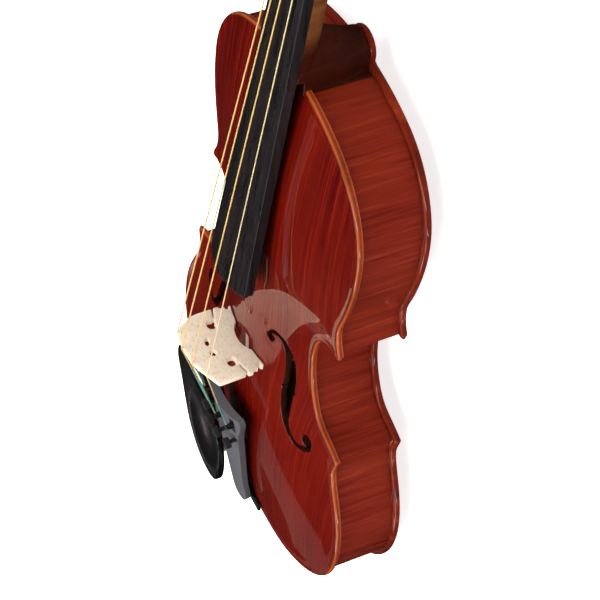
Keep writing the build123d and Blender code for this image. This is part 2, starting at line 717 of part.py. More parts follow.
with BuildPart() as tailgut:
    with BuildLine() as loop:
        start = tail_point(GUT_X, -88, -6.6)
        route = [start, (GUT_X, 5.4, 3.3), (GUT_X, -1.4, 2.9), (4.6, -2.4, BUTTON_Z + 4.8),
                 (5.6, -2.4, BUTTON_Z - 1)]
        bottom = [(3.4, -2.4, BUTTON_Z - 5.4), (-3.4, -2.4, BUTTON_Z - 5.4)]
        back = [(-x, y, z) for x, y, z in route[::-1]]
        FilletPolyline(*route, *bottom, *back, radius=1.4)
    with BuildSketch(Plane(origin=loop.line @ 0, z_dir=loop.line % 0)):
        Circle(GUT_RADIUS)
    sweep()
keep(tailgut, "tailgut")

# ---------------------------------------------------------------- fine tuners
PIN_RADIUS = 0.8
ARM_TOP = -2.7             # lever arm under its pivot, where the screw's tip bears
TIP_GAP = 0.15
SCREW_TIP = (0.4, 1.2)     # radius of the point and length of its cone
LEVER = [
    (1.8, -1.8), (-1.0, -3.8), (-18.5, -3.8), (-18.5, ARM_TOP), (-3.0, -1.9), (-1.8, 1.8),
    (-1.4, 5.8), (0.2, 7.0), (2.4, 7.0), (2.4, 6.0), (1.0, 5.6), (1.6, 1.6),
]


def pivot_plane(x, shift):
    """Side-facing plane at a lever's pivot, moved along X by shift."""
    origin = tail_point(x + shift, PIVOT[0], PIVOT[1] - tail_sag(x))
    return Plane(origin=origin, x_dir=TAIL.y_dir, z_dir=(1, 0, 0))


for x, string in zip(TAIL_X, STRING_NAMES):
    with BuildPart() as lever:
        with BuildSketch(pivot_plane(x, -LEVER_WIDTH / 2)):
            with BuildLine():
                Polyline(*LEVER, close=True)
            make_face()
            Circle(PIN_RADIUS + 0.05, mode=Mode.SUBTRACT)
        extrude(amount=LEVER_WIDTH)
    keep(lever, f"tuner_lever_{string}")

    tip = PIVOT[1] + ARM_TOP + TIP_GAP
    with BuildPart() as screw:
        with BuildSketch(Plane(origin=tail_point(x, SCREW_V, -tail_sag(x)), x_dir=TAIL.z_dir,
                               z_dir=(1, 0, 0))):
            with BuildLine():
                Polyline((tip, 0), (tip, SCREW_TIP[0]), (tip + SCREW_TIP[1], SCREW_RADIUS),
                         (HEAD_LIFT, SCREW_RADIUS), (HEAD_LIFT, HEAD_RADIUS - 0.3),
                         (HEAD_LIFT + 0.3, HEAD_RADIUS),
                         (HEAD_LIFT + HEAD_HEIGHT - 0.4, HEAD_RADIUS),
                         (HEAD_LIFT + HEAD_HEIGHT, HEAD_RADIUS - 0.5),
                         (HEAD_LIFT + HEAD_HEIGHT, 0), close=True)
            make_face()
        revolve(axis=Axis(tail_point(x, SCREW_V, 0), TAIL.z_dir))
    keep(screw, f"tuner_screw_{string}")

with BuildPart() as tuner_pins:
    for x in TAIL_X:
        with BuildSketch(pivot_plane(x, -3.4)):
            Circle(PIN_RADIUS)
        extrude(amount=6.8)
keep(tuner_pins, "tuner_pins")

# ---------------------------------------------------------------- pegs
WINDING_X = {"g": -3.5, "e": 3.0, "d": -1.5, "a": 1.0}
WINDING_RADIUS = 4.8
WINDING_LENGTH = 4.6
PEG_REACH = 25.0
COLLAR = (5.2, 2.2)
THUMB = (11.0, 9.5, 6.4)   # half length, half width, thickness

for string, s in PEG_STATIONS.items():
    side = PEG_SIDES[string]
    cheek = neck_plane(side * BOX_HALF, s, box_axis(s), -side)
    up_neck = neck_plane(0, s, 0, "up the neck").z_dir
    with BuildPart() as peg:
        with Locations(cheek.offset(-2.0)):
            Cone(peg_radius(-2.0), peg_radius(PEG_REACH), PEG_REACH + 2,
                 align=(Align.CENTER, Align.CENTER, Align.MIN))
        with Locations(cheek.offset(-4.0)):
            Cylinder(COLLAR[0], COLLAR[1], align=(Align.CENTER, Align.CENTER, Align.MIN))
        with Locations(cheek.offset(-12.0)):
            Cone(2.8, 4.6, 8.4, align=(Align.CENTER, Align.CENTER, Align.MIN))
        for share, thickness in ((1.0, THUMB[2] * 0.6), (0.86, THUMB[2])):
            with BuildSketch(Plane(origin=cheek.offset(-21).origin, x_dir=cheek.z_dir,
                                   z_dir=up_neck)):
                Ellipse(THUMB[0] * share, THUMB[1] * share)
            extrude(amount=thickness / 2, both=True)
    keep(peg, f"peg_{string}")

    with BuildPart() as winding:
        with Locations(neck_plane(WINDING_X[string] - WINDING_LENGTH / 2, s, box_axis(s), 1)):
            Cylinder(WINDING_RADIUS, WINDING_LENGTH,
                     align=(Align.CENTER, Align.CENTER, Align.MIN))
            Cylinder(PEG_RADIUS, WINDING_LENGTH,
                     align=(Align.CENTER, Align.CENTER, Align.MIN), mode=Mode.SUBTRACT)
    keep(winding, f"winding_{string}")

# ---------------------------------------------------------------- strings
NUT_CREST = 0.35
NUT_CURVE = 33.6
BEND_RADIUS = 2.5

for i, string in enumerate(STRING_NAMES):
    radius = STRING_RADII[i]
    s = PEG_STATIONS[string]
    nut_height = NUT_CREST - NUT_X[i] ** 2 / (2 * NUT_CURVE) + radius + STRING_SEAT
    hook = tail_point(TAIL_X[i], PIVOT[0] + 3.2, PIVOT[1] - tail_sag(TAIL_X[i]) + 6.4)
    route = [
        hook,
        (BRIDGE_X[i], STOP, BRIDGE_Z[i]),
        neck_point(NUT_X[i], 0.3, nut_height),
        neck_point(NUT_X[i], NUT_LENGTH + 0.3, nut_height),
        neck_point(WINDING_X[string], s - 1.5, box_axis(s) + WINDING_RADIUS + radius + 0.15),
    ]
    with BuildPart() as wire:
        with BuildLine() as run:
            FilletPolyline(*route, radius=BEND_RADIUS)
        with BuildSketch(Plane(origin=run.line @ 0, z_dir=run.line % 0)):
            Circle(radius)
        sweep()
    keep(wire, f"string_{string}")
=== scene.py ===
"""Violin: detailed plates, bridge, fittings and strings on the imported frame."""
from math import atan, cos, exp, hypot, pi, radians, sin, sqrt

import bmesh
import bpy
import numpy as np
from mathutils import Matrix, Vector
from mathutils.geometry import delaunay_2d_cdt


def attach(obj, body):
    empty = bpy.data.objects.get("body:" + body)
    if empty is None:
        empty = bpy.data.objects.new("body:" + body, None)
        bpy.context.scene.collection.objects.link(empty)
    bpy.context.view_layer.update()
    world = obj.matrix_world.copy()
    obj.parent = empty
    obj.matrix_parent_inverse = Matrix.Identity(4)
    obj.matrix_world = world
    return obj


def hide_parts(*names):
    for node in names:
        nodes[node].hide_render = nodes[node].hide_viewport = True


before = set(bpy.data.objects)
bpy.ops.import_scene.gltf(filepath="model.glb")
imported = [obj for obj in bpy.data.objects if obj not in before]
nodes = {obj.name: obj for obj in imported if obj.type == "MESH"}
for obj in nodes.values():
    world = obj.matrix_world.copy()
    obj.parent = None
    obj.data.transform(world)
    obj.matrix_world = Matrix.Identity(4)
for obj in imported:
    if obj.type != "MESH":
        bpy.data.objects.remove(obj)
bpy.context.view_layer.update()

# ---------------------------------------------------------------- dimensions (mm, luthier's frame)
# X to the treble side, Y from the tail edge to the scroll, Z out of the front, with z = 0 on the
# upper face of the front's edge. place() turns this into the row frame in metres.
MIDDLE_Y = 284.3
REST_Z = 51.5
BODY_LENGTH = 355.5
EDGE = 4.0
FRONT_ARCH = 12.6
BACK_ARCH = 11.0
BACK_FACE = -40.5
BUTTON, BUTTON_Y = 10.8, BODY_LENGTH + 2
STOP = 154.8
BOARD_END, BOARD_TOP, BOARD_SLOPE = 218.5, 31.27, 0.122
BOARD_WIDE, BOARD_NARROW, BOARD_RADIUS = 41.7, 23.9, 41
NUT_Y = 486.5
TILT = atan(BOARD_SLOPE)
LOWER_BOUT = [
    (0, 0), (23.5, 0.4), (46.5, 4), (65.5, 12.6), (84, 26), (97.6, 44.3), (104, 64.6),
    (104.6, 82), (101.5, 99.3), (95.7, 114.6), (90.6, 126), (88.6, 134.6), (90, 142.2),
]
WAIST = [
    (91, 146.8), (81.2, 150.2), (69, 154.6), (60.5, 165.2), (55.7, 177), (53.6, 188.4),
    (53.7, 200.6), (57, 211.5), (63, 217.8), (68.7, 220.4), (73, 220.8), (77.3, 220.2),
]
UPPER_BOUT = [
    (78.2, 223.6), (75.2, 230.2), (73.8, 238.6), (76.4, 250), (79.9, 263.7), (82.4, 279),
    (83, 292.4), (81.6, 306.2), (76.3, 320.7), (66.7, 333.8), (53, 344), (36.6, 350.4),
    (17.4, 354.4), (0, BODY_LENGTH),
]
ARCH_STATIONS = [
    (-30, 60), (0, 78), (70, 101), (128, 86), (163, 57), (190, 51), (213, 56), (238, 71),
    (290, 80.5), (355, 66), (390, 50),
]
SOUND_HOLE = [
    (22.0, 184.3, 0.9), (24.8, 187.2, 1.3), (29.5, 187.4, 1.5), (34.2, 184.0, 2.2),
    (38.2, 175.5, 3.3), (40.6, 165.0, 3.9), (41.6, 154.0, 4.2), (43.2, 143.0, 3.9),
    (46.0, 132.5, 2.8), (51.0, 126.3, 2.0), (57.0, 124.3, 1.7), (62.8, 126.6, 1.7),
    (66.6, 131.0, 1.5), (66.6, 135.5, 1.0),
]
UPPER_EYE = (23.0, 181.5, 3.2)
LOWER_EYE = (63.8, 134.3, 3.9)
SOUND_HOLE_NICKS = ((37.3, 154.2), (45.9, 156.0))


def place(x, y, z):
    return Vector((x / 1000, (y - MIDDLE_Y) / 1000, (z + REST_Z) / 1000))


# ---------------------------------------------------------------- curves and surfaces
def spline(points, step, closed=False):
    """Evenly spaced points on a natural cubic spline through the given ones."""
    pts = np.array(points, float)
    if closed:
        pts = np.vstack([pts[-3:], pts, pts[:3]])
    chord = np.r_[0, np.cumsum(np.sqrt((np.diff(pts, axis=0) ** 2).sum(1)))]
    n = len(pts)
    h = np.diff(chord)
    system = np.zeros((n, n))
    right = np.zeros((n, pts.shape[1]))
    system[0, 0] = system[-1, -1] = 1
    for i in range(1, n - 1):
        system[i, i - 1:i + 2] = h[i - 1], 2 * (h[i - 1] + h[i]), h[i]
        right[i] = 6 * ((pts[i + 1] - pts[i]) / h[i] - (pts[i] - pts[i - 1]) / h[i - 1])
    bend = np.linalg.solve(system, right)
    first, last = (chord[3], chord[n - 3]) if closed else (chord[0], chord[-1])
    count = max(2, int(round((last - first) / step)) + 1)
    t = np.linspace(first, last, count)
    k = np.clip(np.searchsorted(chord, t, side="right") - 1, 0, n - 2)
    a = ((chord[k + 1] - t) / h[k])[:, None]
    b = 1 - a
    hk = h[k][:, None]
    out = (a * pts[k] + b * pts[k + 1]
           + ((a**3 - a) * bend[k] + (b**3 - b) * bend[k + 1]) * hk**2 / 6)
    return out[:-1] if closed else out


def mirrored(points):
    return [(-p[0],) + tuple(p[1:]) for p in points]


def join_runs(*runs):
    """One closed loop from runs that meet end to end."""
    out = []
    for run in runs:
        for p in run:
            if not out or hypot(p[0] - out[-1][0], p[1] - out[-1][1]) > 0.2:
                out.append(tuple(p))
    if hypot(out[0][0] - out[-1][0], out[0][1] - out[-1][1]) < 0.2:
        out.pop()
    return np.array(out)


def line(a, b, step):
    count = max(2, int(hypot(b[0] - a[0], b[1] - a[1]) / step) + 1)
    return np.linspace(a, b, count)


def body_outline(step):
    m_waist = mirrored(WAIST)
    m_upper = mirrored(UPPER_BOUT)
    return join_runs(
        spline(mirrored(LOWER_BOUT[:0:-1]) + LOWER_BOUT, step),
        line(LOWER_BOUT[-1], WAIST[0], step), spline(WAIST, step),
        line(WAIST[-1], UPPER_BOUT[0], step),
        spline(UPPER_BOUT + m_upper[-2::-1], step), line(m_upper[0], m_waist[-1], step),
        spline(m_waist[::-1], step),
        line(m_waist[0], (-LOWER_BOUT[-1][0], LOWER_BOUT[-1][1]), step),
    )


stations_y = np.array([p[0] for p in ARCH_STATIONS], float)
stations_w = np.array([p[1] for p in ARCH_STATIONS], float)
station_slopes = np.array([
    (stations_w[min(k + 1, len(stations_w) - 1)] - stations_w[max(k - 1, 0)])
    / (stations_y[min(k + 1, len(stations_y) - 1)] - stations_y[max(k - 1, 0)])
    for k in range(len(stations_y))
])


def crown(x, y):
    """Height of the arching as a share of its greatest rise, for arrays of points."""
    x = np.asarray(x, float)
    y = np.asarray(y, float)
    i = np.clip(np.searchsorted(stations_y, y, side="right") - 1, 0, len(stations_y) - 2)
    span = stations_y[i + 1] - stations_y[i]
    t = (y - stations_y[i]) / span
    blend = t * t * (3 - 2 * t)
    rise = station_slopes[i] * t * (1 - t) ** 2 - station_slopes[i + 1] * t * t * (1 - t)
    width = stations_w[i] + (stations_w[i + 1] - stations_w[i]) * blend + span * rise
    along = np.minimum(np.abs(2 * y / BODY_LENGTH - 1), 1)
    across = np.minimum(np.abs(x) / width, 1)
    return (1 - along**3.6) ** 1.5 * (1 - across**2) ** 1.5


def board_crest(y):
    return BOARD_TOP - BOARD_SLOPE * (y - BOARD_END)


def board_half(y):
    return (BOARD_WIDE + (BOARD_NARROW - BOARD_WIDE) * (y - BOARD_END) / (NUT_Y - BOARD_END)) / 2


def board_underside(y):
    return 20.6 - 0.1075 * (y - BOARD_END)


def neck_point(x, s, h):
    return (x, NUT_Y + s * cos(TILT) + h * sin(TILT),
            board_crest(NUT_Y) - s * sin(TILT) + h * cos(TILT))


def distance_to(loop, points):
    """Distance from each point to a closed loop."""
    a = loop
    d = np.roll(loop, -1, axis=0) - a
    length2 = (d**2).sum(1)
    best = np.full(len(points), 1e9)
    for start in range(0, len(points), 2000):
        p = points[start:start + 2000]
        rel = p[:, None, :] - a[None]
        t = np.clip((rel * d[None]).sum(2) / length2, 0, 1)
        gap = rel - t[..., None] * d[None]
        best[start:start + 2000] = np.sqrt((gap**2).sum(2)).min(1)
    return best


def inside(loop, points):
    """Whether each point is inside a closed loop."""
    out = np.zeros(len(points), bool)
    for (x0, y0), (x1, y1) in zip(loop, np.roll(loop, -1, axis=0)):
        if y0 == y1:
            continue
        crosses = (y0 > points[:, 1]) != (y1 > points[:, 1])
        at = x0 + (points[:, 1] - y0) * (x1 - x0) / (y1 - y0)
        out ^= crosses & (points[:, 0] < at)
    return out


def ring(loop, depth):
    """Points at a depth inside a closed loop that runs anticlockwise."""
    heading = np.roll(loop, -1, axis=0) - np.roll(loop, 1, axis=0)
    heading /= np.sqrt((heading**2).sum(1))[:, None]
    moved = loop + np.c_[-heading[:, 1], heading[:, 0]] * depth
    keep = np.abs(distance_to(loop, moved) - abs(depth)) < 0.03 + abs(depth) * 0.02
    return moved[keep]


def anticlockwise(loop):
    area = (loop[:, 0] * np.roll(loop[:, 1], -1) - np.roll(loop[:, 0], -1) * loop[:, 1]).sum()
    return loop if area > 0 else loop[::-1]


def border_edges(tris):
    """Directed edges that only one triangle uses."""
    used = {}
    for a, b, c in tris:
        for edge in ((a, b), (b, c), (c, a)):
            used[edge] = True
    return [(a, b) for a, b in used if (b, a) not in used]


def smooth(t):
    t = np.clip(t, 0, 1)
    return t * t * (3 - 2 * t)


def rounding(depth, radius):
    """How far a rounded edge has dropped, at a depth inside it."""
    return radius - np.sqrt(np.maximum(radius**2 - np.clip(radius - depth, 0, radius) ** 2, 0))


def triangulate(outer, holes, rings, interior):
    """Flat triangles inside outer and outside holes: points and triangles."""
    points = [tuple(p) for p in outer]
    edges = [(i, (i + 1) % len(outer)) for i in range(len(outer))]
    for hole in holes:
        first = len(points)
        points += [tuple(p) for p in hole]
        edges += [(first + i, first + (i + 1) % len(hole)) for i in range(len(hole))]
    for group in list(rings) + [interior]:
        points += [tuple(p) for p in group]
    result = delaunay_2d_cdt([Vector(p) for p in points], edges, [], 0, 0.001)
    verts = np.array([tuple(v) for v in result[0]])
    tris = np.array([f for f in result[2] if len(f) == 3])
    middle = verts[tris].mean(1)
    good = inside(outer, middle)
    for hole in holes:
        good &= ~inside(hole, middle)
    tris = tris[good]
    a, b, c = (verts[tris[:, k]] for k in range(3))
    turn = (b[:, 0] - a[:, 0]) * (c[:, 1] - a[:, 1]) - (b[:, 1] - a[:, 1]) * (c[:, 0] - a[:, 0])
    tris[turn < 0] = tris[turn < 0][:, ::-1]
    return verts, tris[np.abs(turn) > 1e-7]


def grid(loop, spacing, clear, holes=(), hole_clear=2.0):
    """Staggered points inside a loop, clear of its edge and of the holes."""
    low, high = loop.min(0), loop.max(0)
    rows = np.arange(low[1], high[1], spacing * 0.866)
    points = []
    for k, y in enumerate(rows):
        xs = np.arange(low[0] + (k % 2) * spacing / 2, high[0], spacing)
        points += [(x, y) for x in xs]
    points = np.array(points)
    points = points[inside(loop, points)]
    points = points[distance_to(loop, points) > clear]
    for hole in holes:
        points = points[~inside(hole, points)]
        points = points[distance_to(hole, points) > hole_clear]
    return points


def new_object(name, verts, faces, mats, face_mats=None):
    mesh = bpy.data.meshes.new(name)
    mesh.from_pydata([tuple(v) for v in verts], [], [tuple(int(i) for i in f) for f in faces])
    for mat in mats:
        mesh.materials.append(mat)
    if face_mats is not None:
        mesh.polygons.foreach_set("material_index", [int(i) for i in face_mats])
    mesh.polygons.foreach_set("use_smooth", [True] * len(mesh.polygons))
    mesh.update()
    piece = bpy.data.objects.new(name, mesh)
    bpy.context.scene.collection.objects.link(piece)
    return piece


def slab(name, flat, top, bottom, mats, attributes, sharp=40):
    """Closed solid over flat triangles, with heights for its two faces (mm).

    Material 0 is on the top, 1 on the outer and inner walls, and 2 on the underside."""
    verts2, tris = flat
    n = len(verts2)
    verts = [place(x, y, z) for (x, y), z in zip(verts2, top)]
    verts += [place(x, y, z) for (x, y), z in zip(verts2, bottom)]
    walls = [(a, n + a, n + b, b) for a, b in border_edges(tris)]
    faces = [tuple(t) for t in tris] + [(n + c, n + b, n + a) for a, b, c in tris] + walls
    face_mats = [0] * len(tris) + [2] * len(tris) + [1] * len(walls)
    piece = new_object(name, verts, faces, mats, face_mats)
    for key, values in attributes.items():
        layer = piece.data.attributes.new(key, "FLOAT", "POINT")
        layer.data.foreach_set("value", np.r_[values, values].astype(np.float32))
    clean(piece)
    piece.data.set_sharp_from_angle(angle=radians(sharp))
    return piece


def tube_faces(first, rows, count):
    """Faces of a closed skin over rows of points, capped at both ends."""
    faces = []
    for i in range(rows - 1):
        for k in range(count):
            a, b = first + i * count + k, first + i * count + (k + 1) % count
            faces.append((a, b, b + count, a + count))
    last = first + (rows - 1) * count
    return faces + [tuple(range(first, first + count))[::-1], tuple(range(last, last + count))]


def clean(piece):
    """Drop points that no face uses."""
    work = bmesh.new()
    work.from_mesh(piece.data)
    loose = [v for v in work.verts if not v.link_faces]
    bmesh.ops.delete(work, geom=loose, context="VERTS")
    work.to_mesh(piece.data)
    work.free()


# ---------------------------------------------------------------- materials
class Nodes:
    """Small helper that adds nodes and links to one material."""

    def __init__(self, name):
        self.mat = bpy.data.materials.new(name)
        self.mat.use_nodes = True
        self.tree = self.mat.node_tree
        self.shader = self.tree.nodes["Principled BSDF"]
        self.coords = self.tree.nodes.new("ShaderNodeTexCoord").outputs["Object"]

    def link(self, a, b):
        self.tree.links.new(a, b)

    def set(self, **values):
        for key, value in values.items():
            self.shader.inputs[key.replace("_", " ")].default_value = value

    def mapped(self, scale, turn=(0, 0, 0)):
        node = self.tree.nodes.new("ShaderNodeMapping")
        node.inputs["Scale"].default_value = scale
        node.inputs["Rotation"].default_value = turn
        self.link(self.coords, node.inputs["Vector"])
        return node.outputs["Vector"]

    def noise(self, scale, turn=(0, 0, 0), detail=4, rough=0.55, distort=0.0):
        node = self.tree.nodes.new("ShaderNodeTexNoise")
        node.inputs["Scale"].default_value = 1.0
        node.inputs["Detail"].default_value = detail
        node.inputs["Roughness"].default_value = rough
        node.inputs["Distortion"].default_value = distort
        self.link(self.mapped(scale, turn), node.inputs["Vector"])
        return node.outputs["Fac"]

    def bands(self, scale):
        """Even bands across Y."""
        node = self.tree.nodes.new("ShaderNodeTexWave")
        node.bands_direction = "Y"
        node.inputs["Scale"].default_value = 1.0
        self.link(self.mapped(scale), node.inputs["Vector"])
        return node.outputs["Fac"]

    def ramp(self, value, *stops):
        node = self.tree.nodes.new("ShaderNodeValToRGB")
        while len(node.color_ramp.elements) < len(stops):
            node.color_ramp.elements.new(0.5)
        for element, (at, colour) in zip(node.color_ramp.elements, stops):
            element.position = at
            element.color = (*colour, 1)
        self.link(value, node.inputs["Fac"])
        return node.outputs["Color"]

    def grey(self, value, *stops):
        return self.ramp(value, *[(at, (v, v, v)) for at, v in stops])

    def mix(self, factor, a, b, mode="MIX"):
        node = self.tree.nodes.new("ShaderNodeMix")
        node.data_type = "RGBA"
        node.blend_type = mode
        for value, socket in ((factor, node.inputs["Factor"]), (a, node.inputs["A"]),
                              (b, node.inputs["B"])):
            if hasattr(value, "is_linked"):
                self.link(value, socket)
            elif isinstance(value, tuple):
                socket.default_value = (*value, 1)
            else:
                socket.default_value = value
        return node.outputs["Result"]

    def attribute(self, name):
        node = self.tree.nodes.new("ShaderNodeAttribute")
        node.attribute_name = name
        return node.outputs["Fac"]

    def map_range(self, value, low, high, to_low, to_high):
        node = self.tree.nodes.new("ShaderNodeMapRange")
        for key, number in (("From Min", low), ("From Max", high), ("To Min", to_low),
                            ("To Max", to_high)):
            node.inputs[key].default_value = number
        self.link(value, node.inputs["Value"])
        return node.outputs["Result"]

    def bump(self, value, depth, strength, on="Normal"):
        node = self.tree.nodes.new("ShaderNodeBump")
        node.inputs["Distance"].default_value = depth
        node.inputs["Strength"].default_value = strength
        self.link(value, node.inputs["Height"])
        self.link(node.outputs["Normal"], self.shader.inputs[on])

    def colour(self, value):
        self.link(value, self.shader.inputs["Base Color"])

    def rough(self, value):
        self.link(value, self.shader.inputs["Roughness"])


def varnish(m, coat=1.0, base_rough=0.42):
    """Clear gloss over a duller coloured ground."""
    m.set(Roughness=base_rough, Coat_Weight=coat, Coat_Roughness=0.018, Coat_IOR=1.5,
          Specular_IOR_Level=0.05)


def spruce():
    """Red-brown varnish over straight grain, orange on the edge's bead: rubbed varnish and a
    painted highlight.
    """
    m = Nodes("front_varnish")
    grain = m.noise((1100, 9, 40), detail=3, rough=0.6)
    wide = m.noise((220, 5, 20), detail=2)
    cloud = m.noise((14, 9, 14), detail=3)
    fleck = m.noise((900, 150, 300), detail=2)
    lines = m.ramp(grain, (0.36, (0.036, 0.0006, 0.0004)), (0.52, (0.090, 0.0014, 0.0006)),
                   (0.68, (0.165, 0.0080, 0.0015)))
    tone = m.mix(m.grey(wide, (0.35, 0.0), (0.65, 0.55)), lines, (0.070, 0.0018, 0.0007))
    tone = m.mix(m.grey(cloud, (0.40, 0.0), (0.7, 0.40)), tone, (0.165, 0.0080, 0.0015))
    tone = m.mix(m.grey(fleck, (0.60, 0.0), (0.72, 0.35)), tone, (0.035, 0.0010, 0.0004))
    # Orange band along the bead, down its side and under the overhang: partly rubbed varnish,
    # partly a painted highlight.
    edge = m.attribute("edge")
    rub_and_highlight = m.grey(edge, (0.0, 0.25), (0.012, 1), (0.024, 0.6), (0.038, 0.05), (0.07, 0))
    patch = m.grey(m.noise((25, 18, 25), detail=3), (0.3, 0.45), (0.6, 1.0))
    rub_and_highlight = m.mix(1.0, rub_and_highlight, patch, "MULTIPLY")
    tone = m.mix(rub_and_highlight, tone, (0.36, 0.080, 0.019))
    m.colour(tone)
    varnish(m)
    m.bump(grain, 0.00004, 0.35)
    m.bump(m.noise((90, 40, 90), detail=2), 0.00012, 0.05, "Coat Normal")
    return m.mat


def flamed(name, dark, mid, light, across, fine, edge=False, flame_turn=0.0, coat=1.0,
           base_rough=0.42):
    """Varnished maple. across and fine are the scales of its flames and its fibres."""
    m = Nodes(name)
    flame = m.noise(across, turn=(0, 0, flame_turn), detail=3, rough=0.5, distort=0.35)
    fibre = m.noise(fine, detail=3)
    cloud = m.noise((16, 16, 16), detail=2)
    tone = m.ramp(flame, (0.34, dark), (0.48, mid), (0.56, mid), (0.68, light))
    tone = m.mix(m.grey(fibre, (0.40, 0.0), (0.66, 0.5)), tone, dark)
    tone = m.mix(m.grey(cloud, (0.4, 0.0), (0.7, 0.3)), tone, light)
    if edge:
        # Orange-red band along the back's bead: partly rubbed varnish, partly a painted highlight.
        rub_and_highlight = m.grey(m.attribute("edge"), (0.0, 0.0), (0.03, 0.25), (0.08, 0.05), (0.2, 0))
        tone = m.mix(rub_and_highlight, tone, (0.25, 0.03, 0.008))
    m.colour(tone)
    varnish(m, coat, base_rough)
    m.bump(fibre, 0.00003, 0.3)
    return m


def neck_wood():
    """Oiled maple on the shaft, red-brown varnish on the heel and from the nut to the scroll."""
    m = flamed("neck_maple", (0.060, 0.014, 0.004), (0.16, 0.050, 0.012), (0.29, 0.115, 0.032),
               (8, 120, 8), (900, 40, 500), coat=0.5, base_rough=0.4)
    split = m.tree.nodes.new("ShaderNodeSeparateXYZ")
    m.link(m.coords, split.inputs[0])
    along = split.outputs["Y"]
    heel = m.map_range(along, 0.092, 0.128, 1.0, 0.0)
    head = m.map_range(along, 0.188, 0.222, 0.0, 1.0)
    plain = m.shader.inputs["Base Color"].links[0].from_socket
    red = m.mix(1.0, plain, (0.60, 0.15, 0.13), "MULTIPLY")
    dark = m.mix(1.0, plain, (0.13, 0.050, 0.065), "MULTIPLY")
    tone = m.mix(heel, plain, dark)
    m.colour(m.mix(head, tone, red))
    return m.mat


def bare_wood(name, dark, light, scale, rough=0.7):
    m = Nodes(name)
    grain = m.noise(scale, detail=4)
    m.colour(m.ramp(grain, (0.35, dark), (0.65, light)))
    m.set(Roughness=rough)
    m.bump(grain, 0.00005, 0.4)
    return m.mat


def ebony(name, sheen, rough, scale=(500, 12, 500)):
    m = Nodes(name)
    grain = m.noise(scale, detail=4)
    m.colour(m.ramp(grain, (0.35, (0.004, 0.004, 0.005)), (0.7, sheen)))
    m.rough(m.grey(grain, (0.3, rough), (0.7, rough + 0.12)))
    m.bump(grain, 0.00003, 0.3)
    return m.mat


def bridge_wood():
    m = Nodes("bridge_maple")
    fleck = m.noise((420, 900, 1500), detail=3, rough=0.7)
    rays = m.noise((900, 300, 2600), detail=2)
    tone = m.ramp(fleck, (0.30, (0.62, 0.46, 0.30)), (0.44, (0.86, 0.72, 0.55)),
                  (0.7, (0.92, 0.80, 0.64)))
    tone = m.mix(m.grey(rays, (0.62, 0.0), (0.72, 0.6)), tone, (0.50, 0.32, 0.18))
    m.colour(tone)
    m.set(Roughness=0.55)
    m.bump(fleck, 0.00005, 0.3)
    return m.mat


def metal(name, colour, rough):
    m = Nodes(name)
    wear = m.noise((300, 300, 300), detail=3)
    low = tuple(c * 0.75 for c in colour)
    m.colour(m.ramp(wear, (0.35, low), (0.65, colour)))
    m.set(Metallic=1.0)
    m.rough(m.grey(wear, (0.3, rough), (0.7, rough + 0.12)))
    m.bump(wear, 0.00002, 0.2)
    return m.mat


def composite(name, colour, rough, coat=0.0):
    m = Nodes(name)
    speck = m.noise((2500, 2500, 2500), detail=2)
    m.colour(m.ramp(speck, (0.3, tuple(c * 0.6 for c in colour)), (0.7, colour)))
    m.rough(m.grey(speck, (0.3, rough), (0.7, rough + 0.08)))
    m.set(Coat_Weight=coat, Coat_Roughness=0.05)
    m.bump(speck, 0.00002, 0.25)
    return m.mat


def wound(name, colour, rough):
    m = Nodes(name)
    turns = m.bands((10, 1900, 10))
    m.colour(m.ramp(turns, (0.1, tuple(c * 0.75 for c in colour)), (0.6, colour)))
    m.set(Metallic=0.35, Roughness=rough)
    m.bump(turns, 0.00003, 0.4)
    return m.mat


def silk(name, dark, light):
    m = Nodes(name)
    thread = m.noise((600, 2200, 600), detail=3)
    m.colour(m.ramp(thread, (0.35, dark), (0.65, light)))
    m.set(Roughness=0.6, Sheen_Weight=0.4)
    m.bump(thread, 0.00008, 0.7)
    return m.mat


FRONT = spruce()
BACK = flamed("back_varnish", (0.045, 0.0025, 0.001), (0.10, 0.006, 0.002), (0.22, 0.022, 0.005),
              (7, 105, 7), (900, 30, 300), edge=True, flame_turn=0.12).mat
RIBS = flamed("rib_varnish", (0.085, 0.0034, 0.0010), (0.140, 0.0088, 0.0020),
              (0.200, 0.0200, 0.0042), (430, 430, 20), (1300, 1300, 60)).mat
NECK = neck_wood()
INNER = bare_wood("inner_wood", (0.38, 0.24, 0.12), (0.55, 0.38, 0.21), (600, 15, 600))
# Near-black walls of the sound holes: painted shade of the hollow body behind them.
SHADED_CUT = bare_wood("cut_edge_painted_shade", (0.010, 0.002, 0.001), (0.045, 0.010, 0.004), (500, 60, 500), 0.35)
BOARD = ebony("board_ebony", (0.012, 0.009, 0.010), 0.24)
EBONY = ebony("fitting_ebony", (0.012, 0.010, 0.010), 0.22, (400, 40, 400))
PEGS = ebony("peg_ebony", (0.020, 0.012, 0.008), 0.25, (40, 300, 300))
BRIDGE = bridge_wood()
TAIL = composite("tailpiece_composite", (0.105, 0.105, 0.116), 0.36, 0.25)
CHIN = composite("chin_rest_gloss", (0.004, 0.004, 0.005), 0.17, 0.15)
TUNER = metal("tuner_black_metal", (0.10, 0.10, 0.11), 0.32)
KNOBS = composite("tuner_black_knob", (0.02, 0.02, 0.022), 0.3, 0.3)
GUT = composite("tailgut_black", (0.02, 0.02, 0.02), 0.45)
GOLD = wound("string_gold", (0.90, 0.60, 0.22), 0.35)
PALE = wound("string_pale", (0.92, 0.72, 0.36), 0.3)
GREEN = silk("silk_green", (0.006, 0.10, 0.035), (0.015, 0.26, 0.09))
TEAL = silk("silk_teal", (0.004, 0.09, 0.08), (0.01, 0.22, 0.19))
CORK = bare_wood("cork", (0.20, 0.10, 0.04), (0.45, 0.27, 0.12), (900, 900, 900), 0.85)
CHROME = metal("clamp_chrome", (0.78, 0.78, 0.80), 0.12)

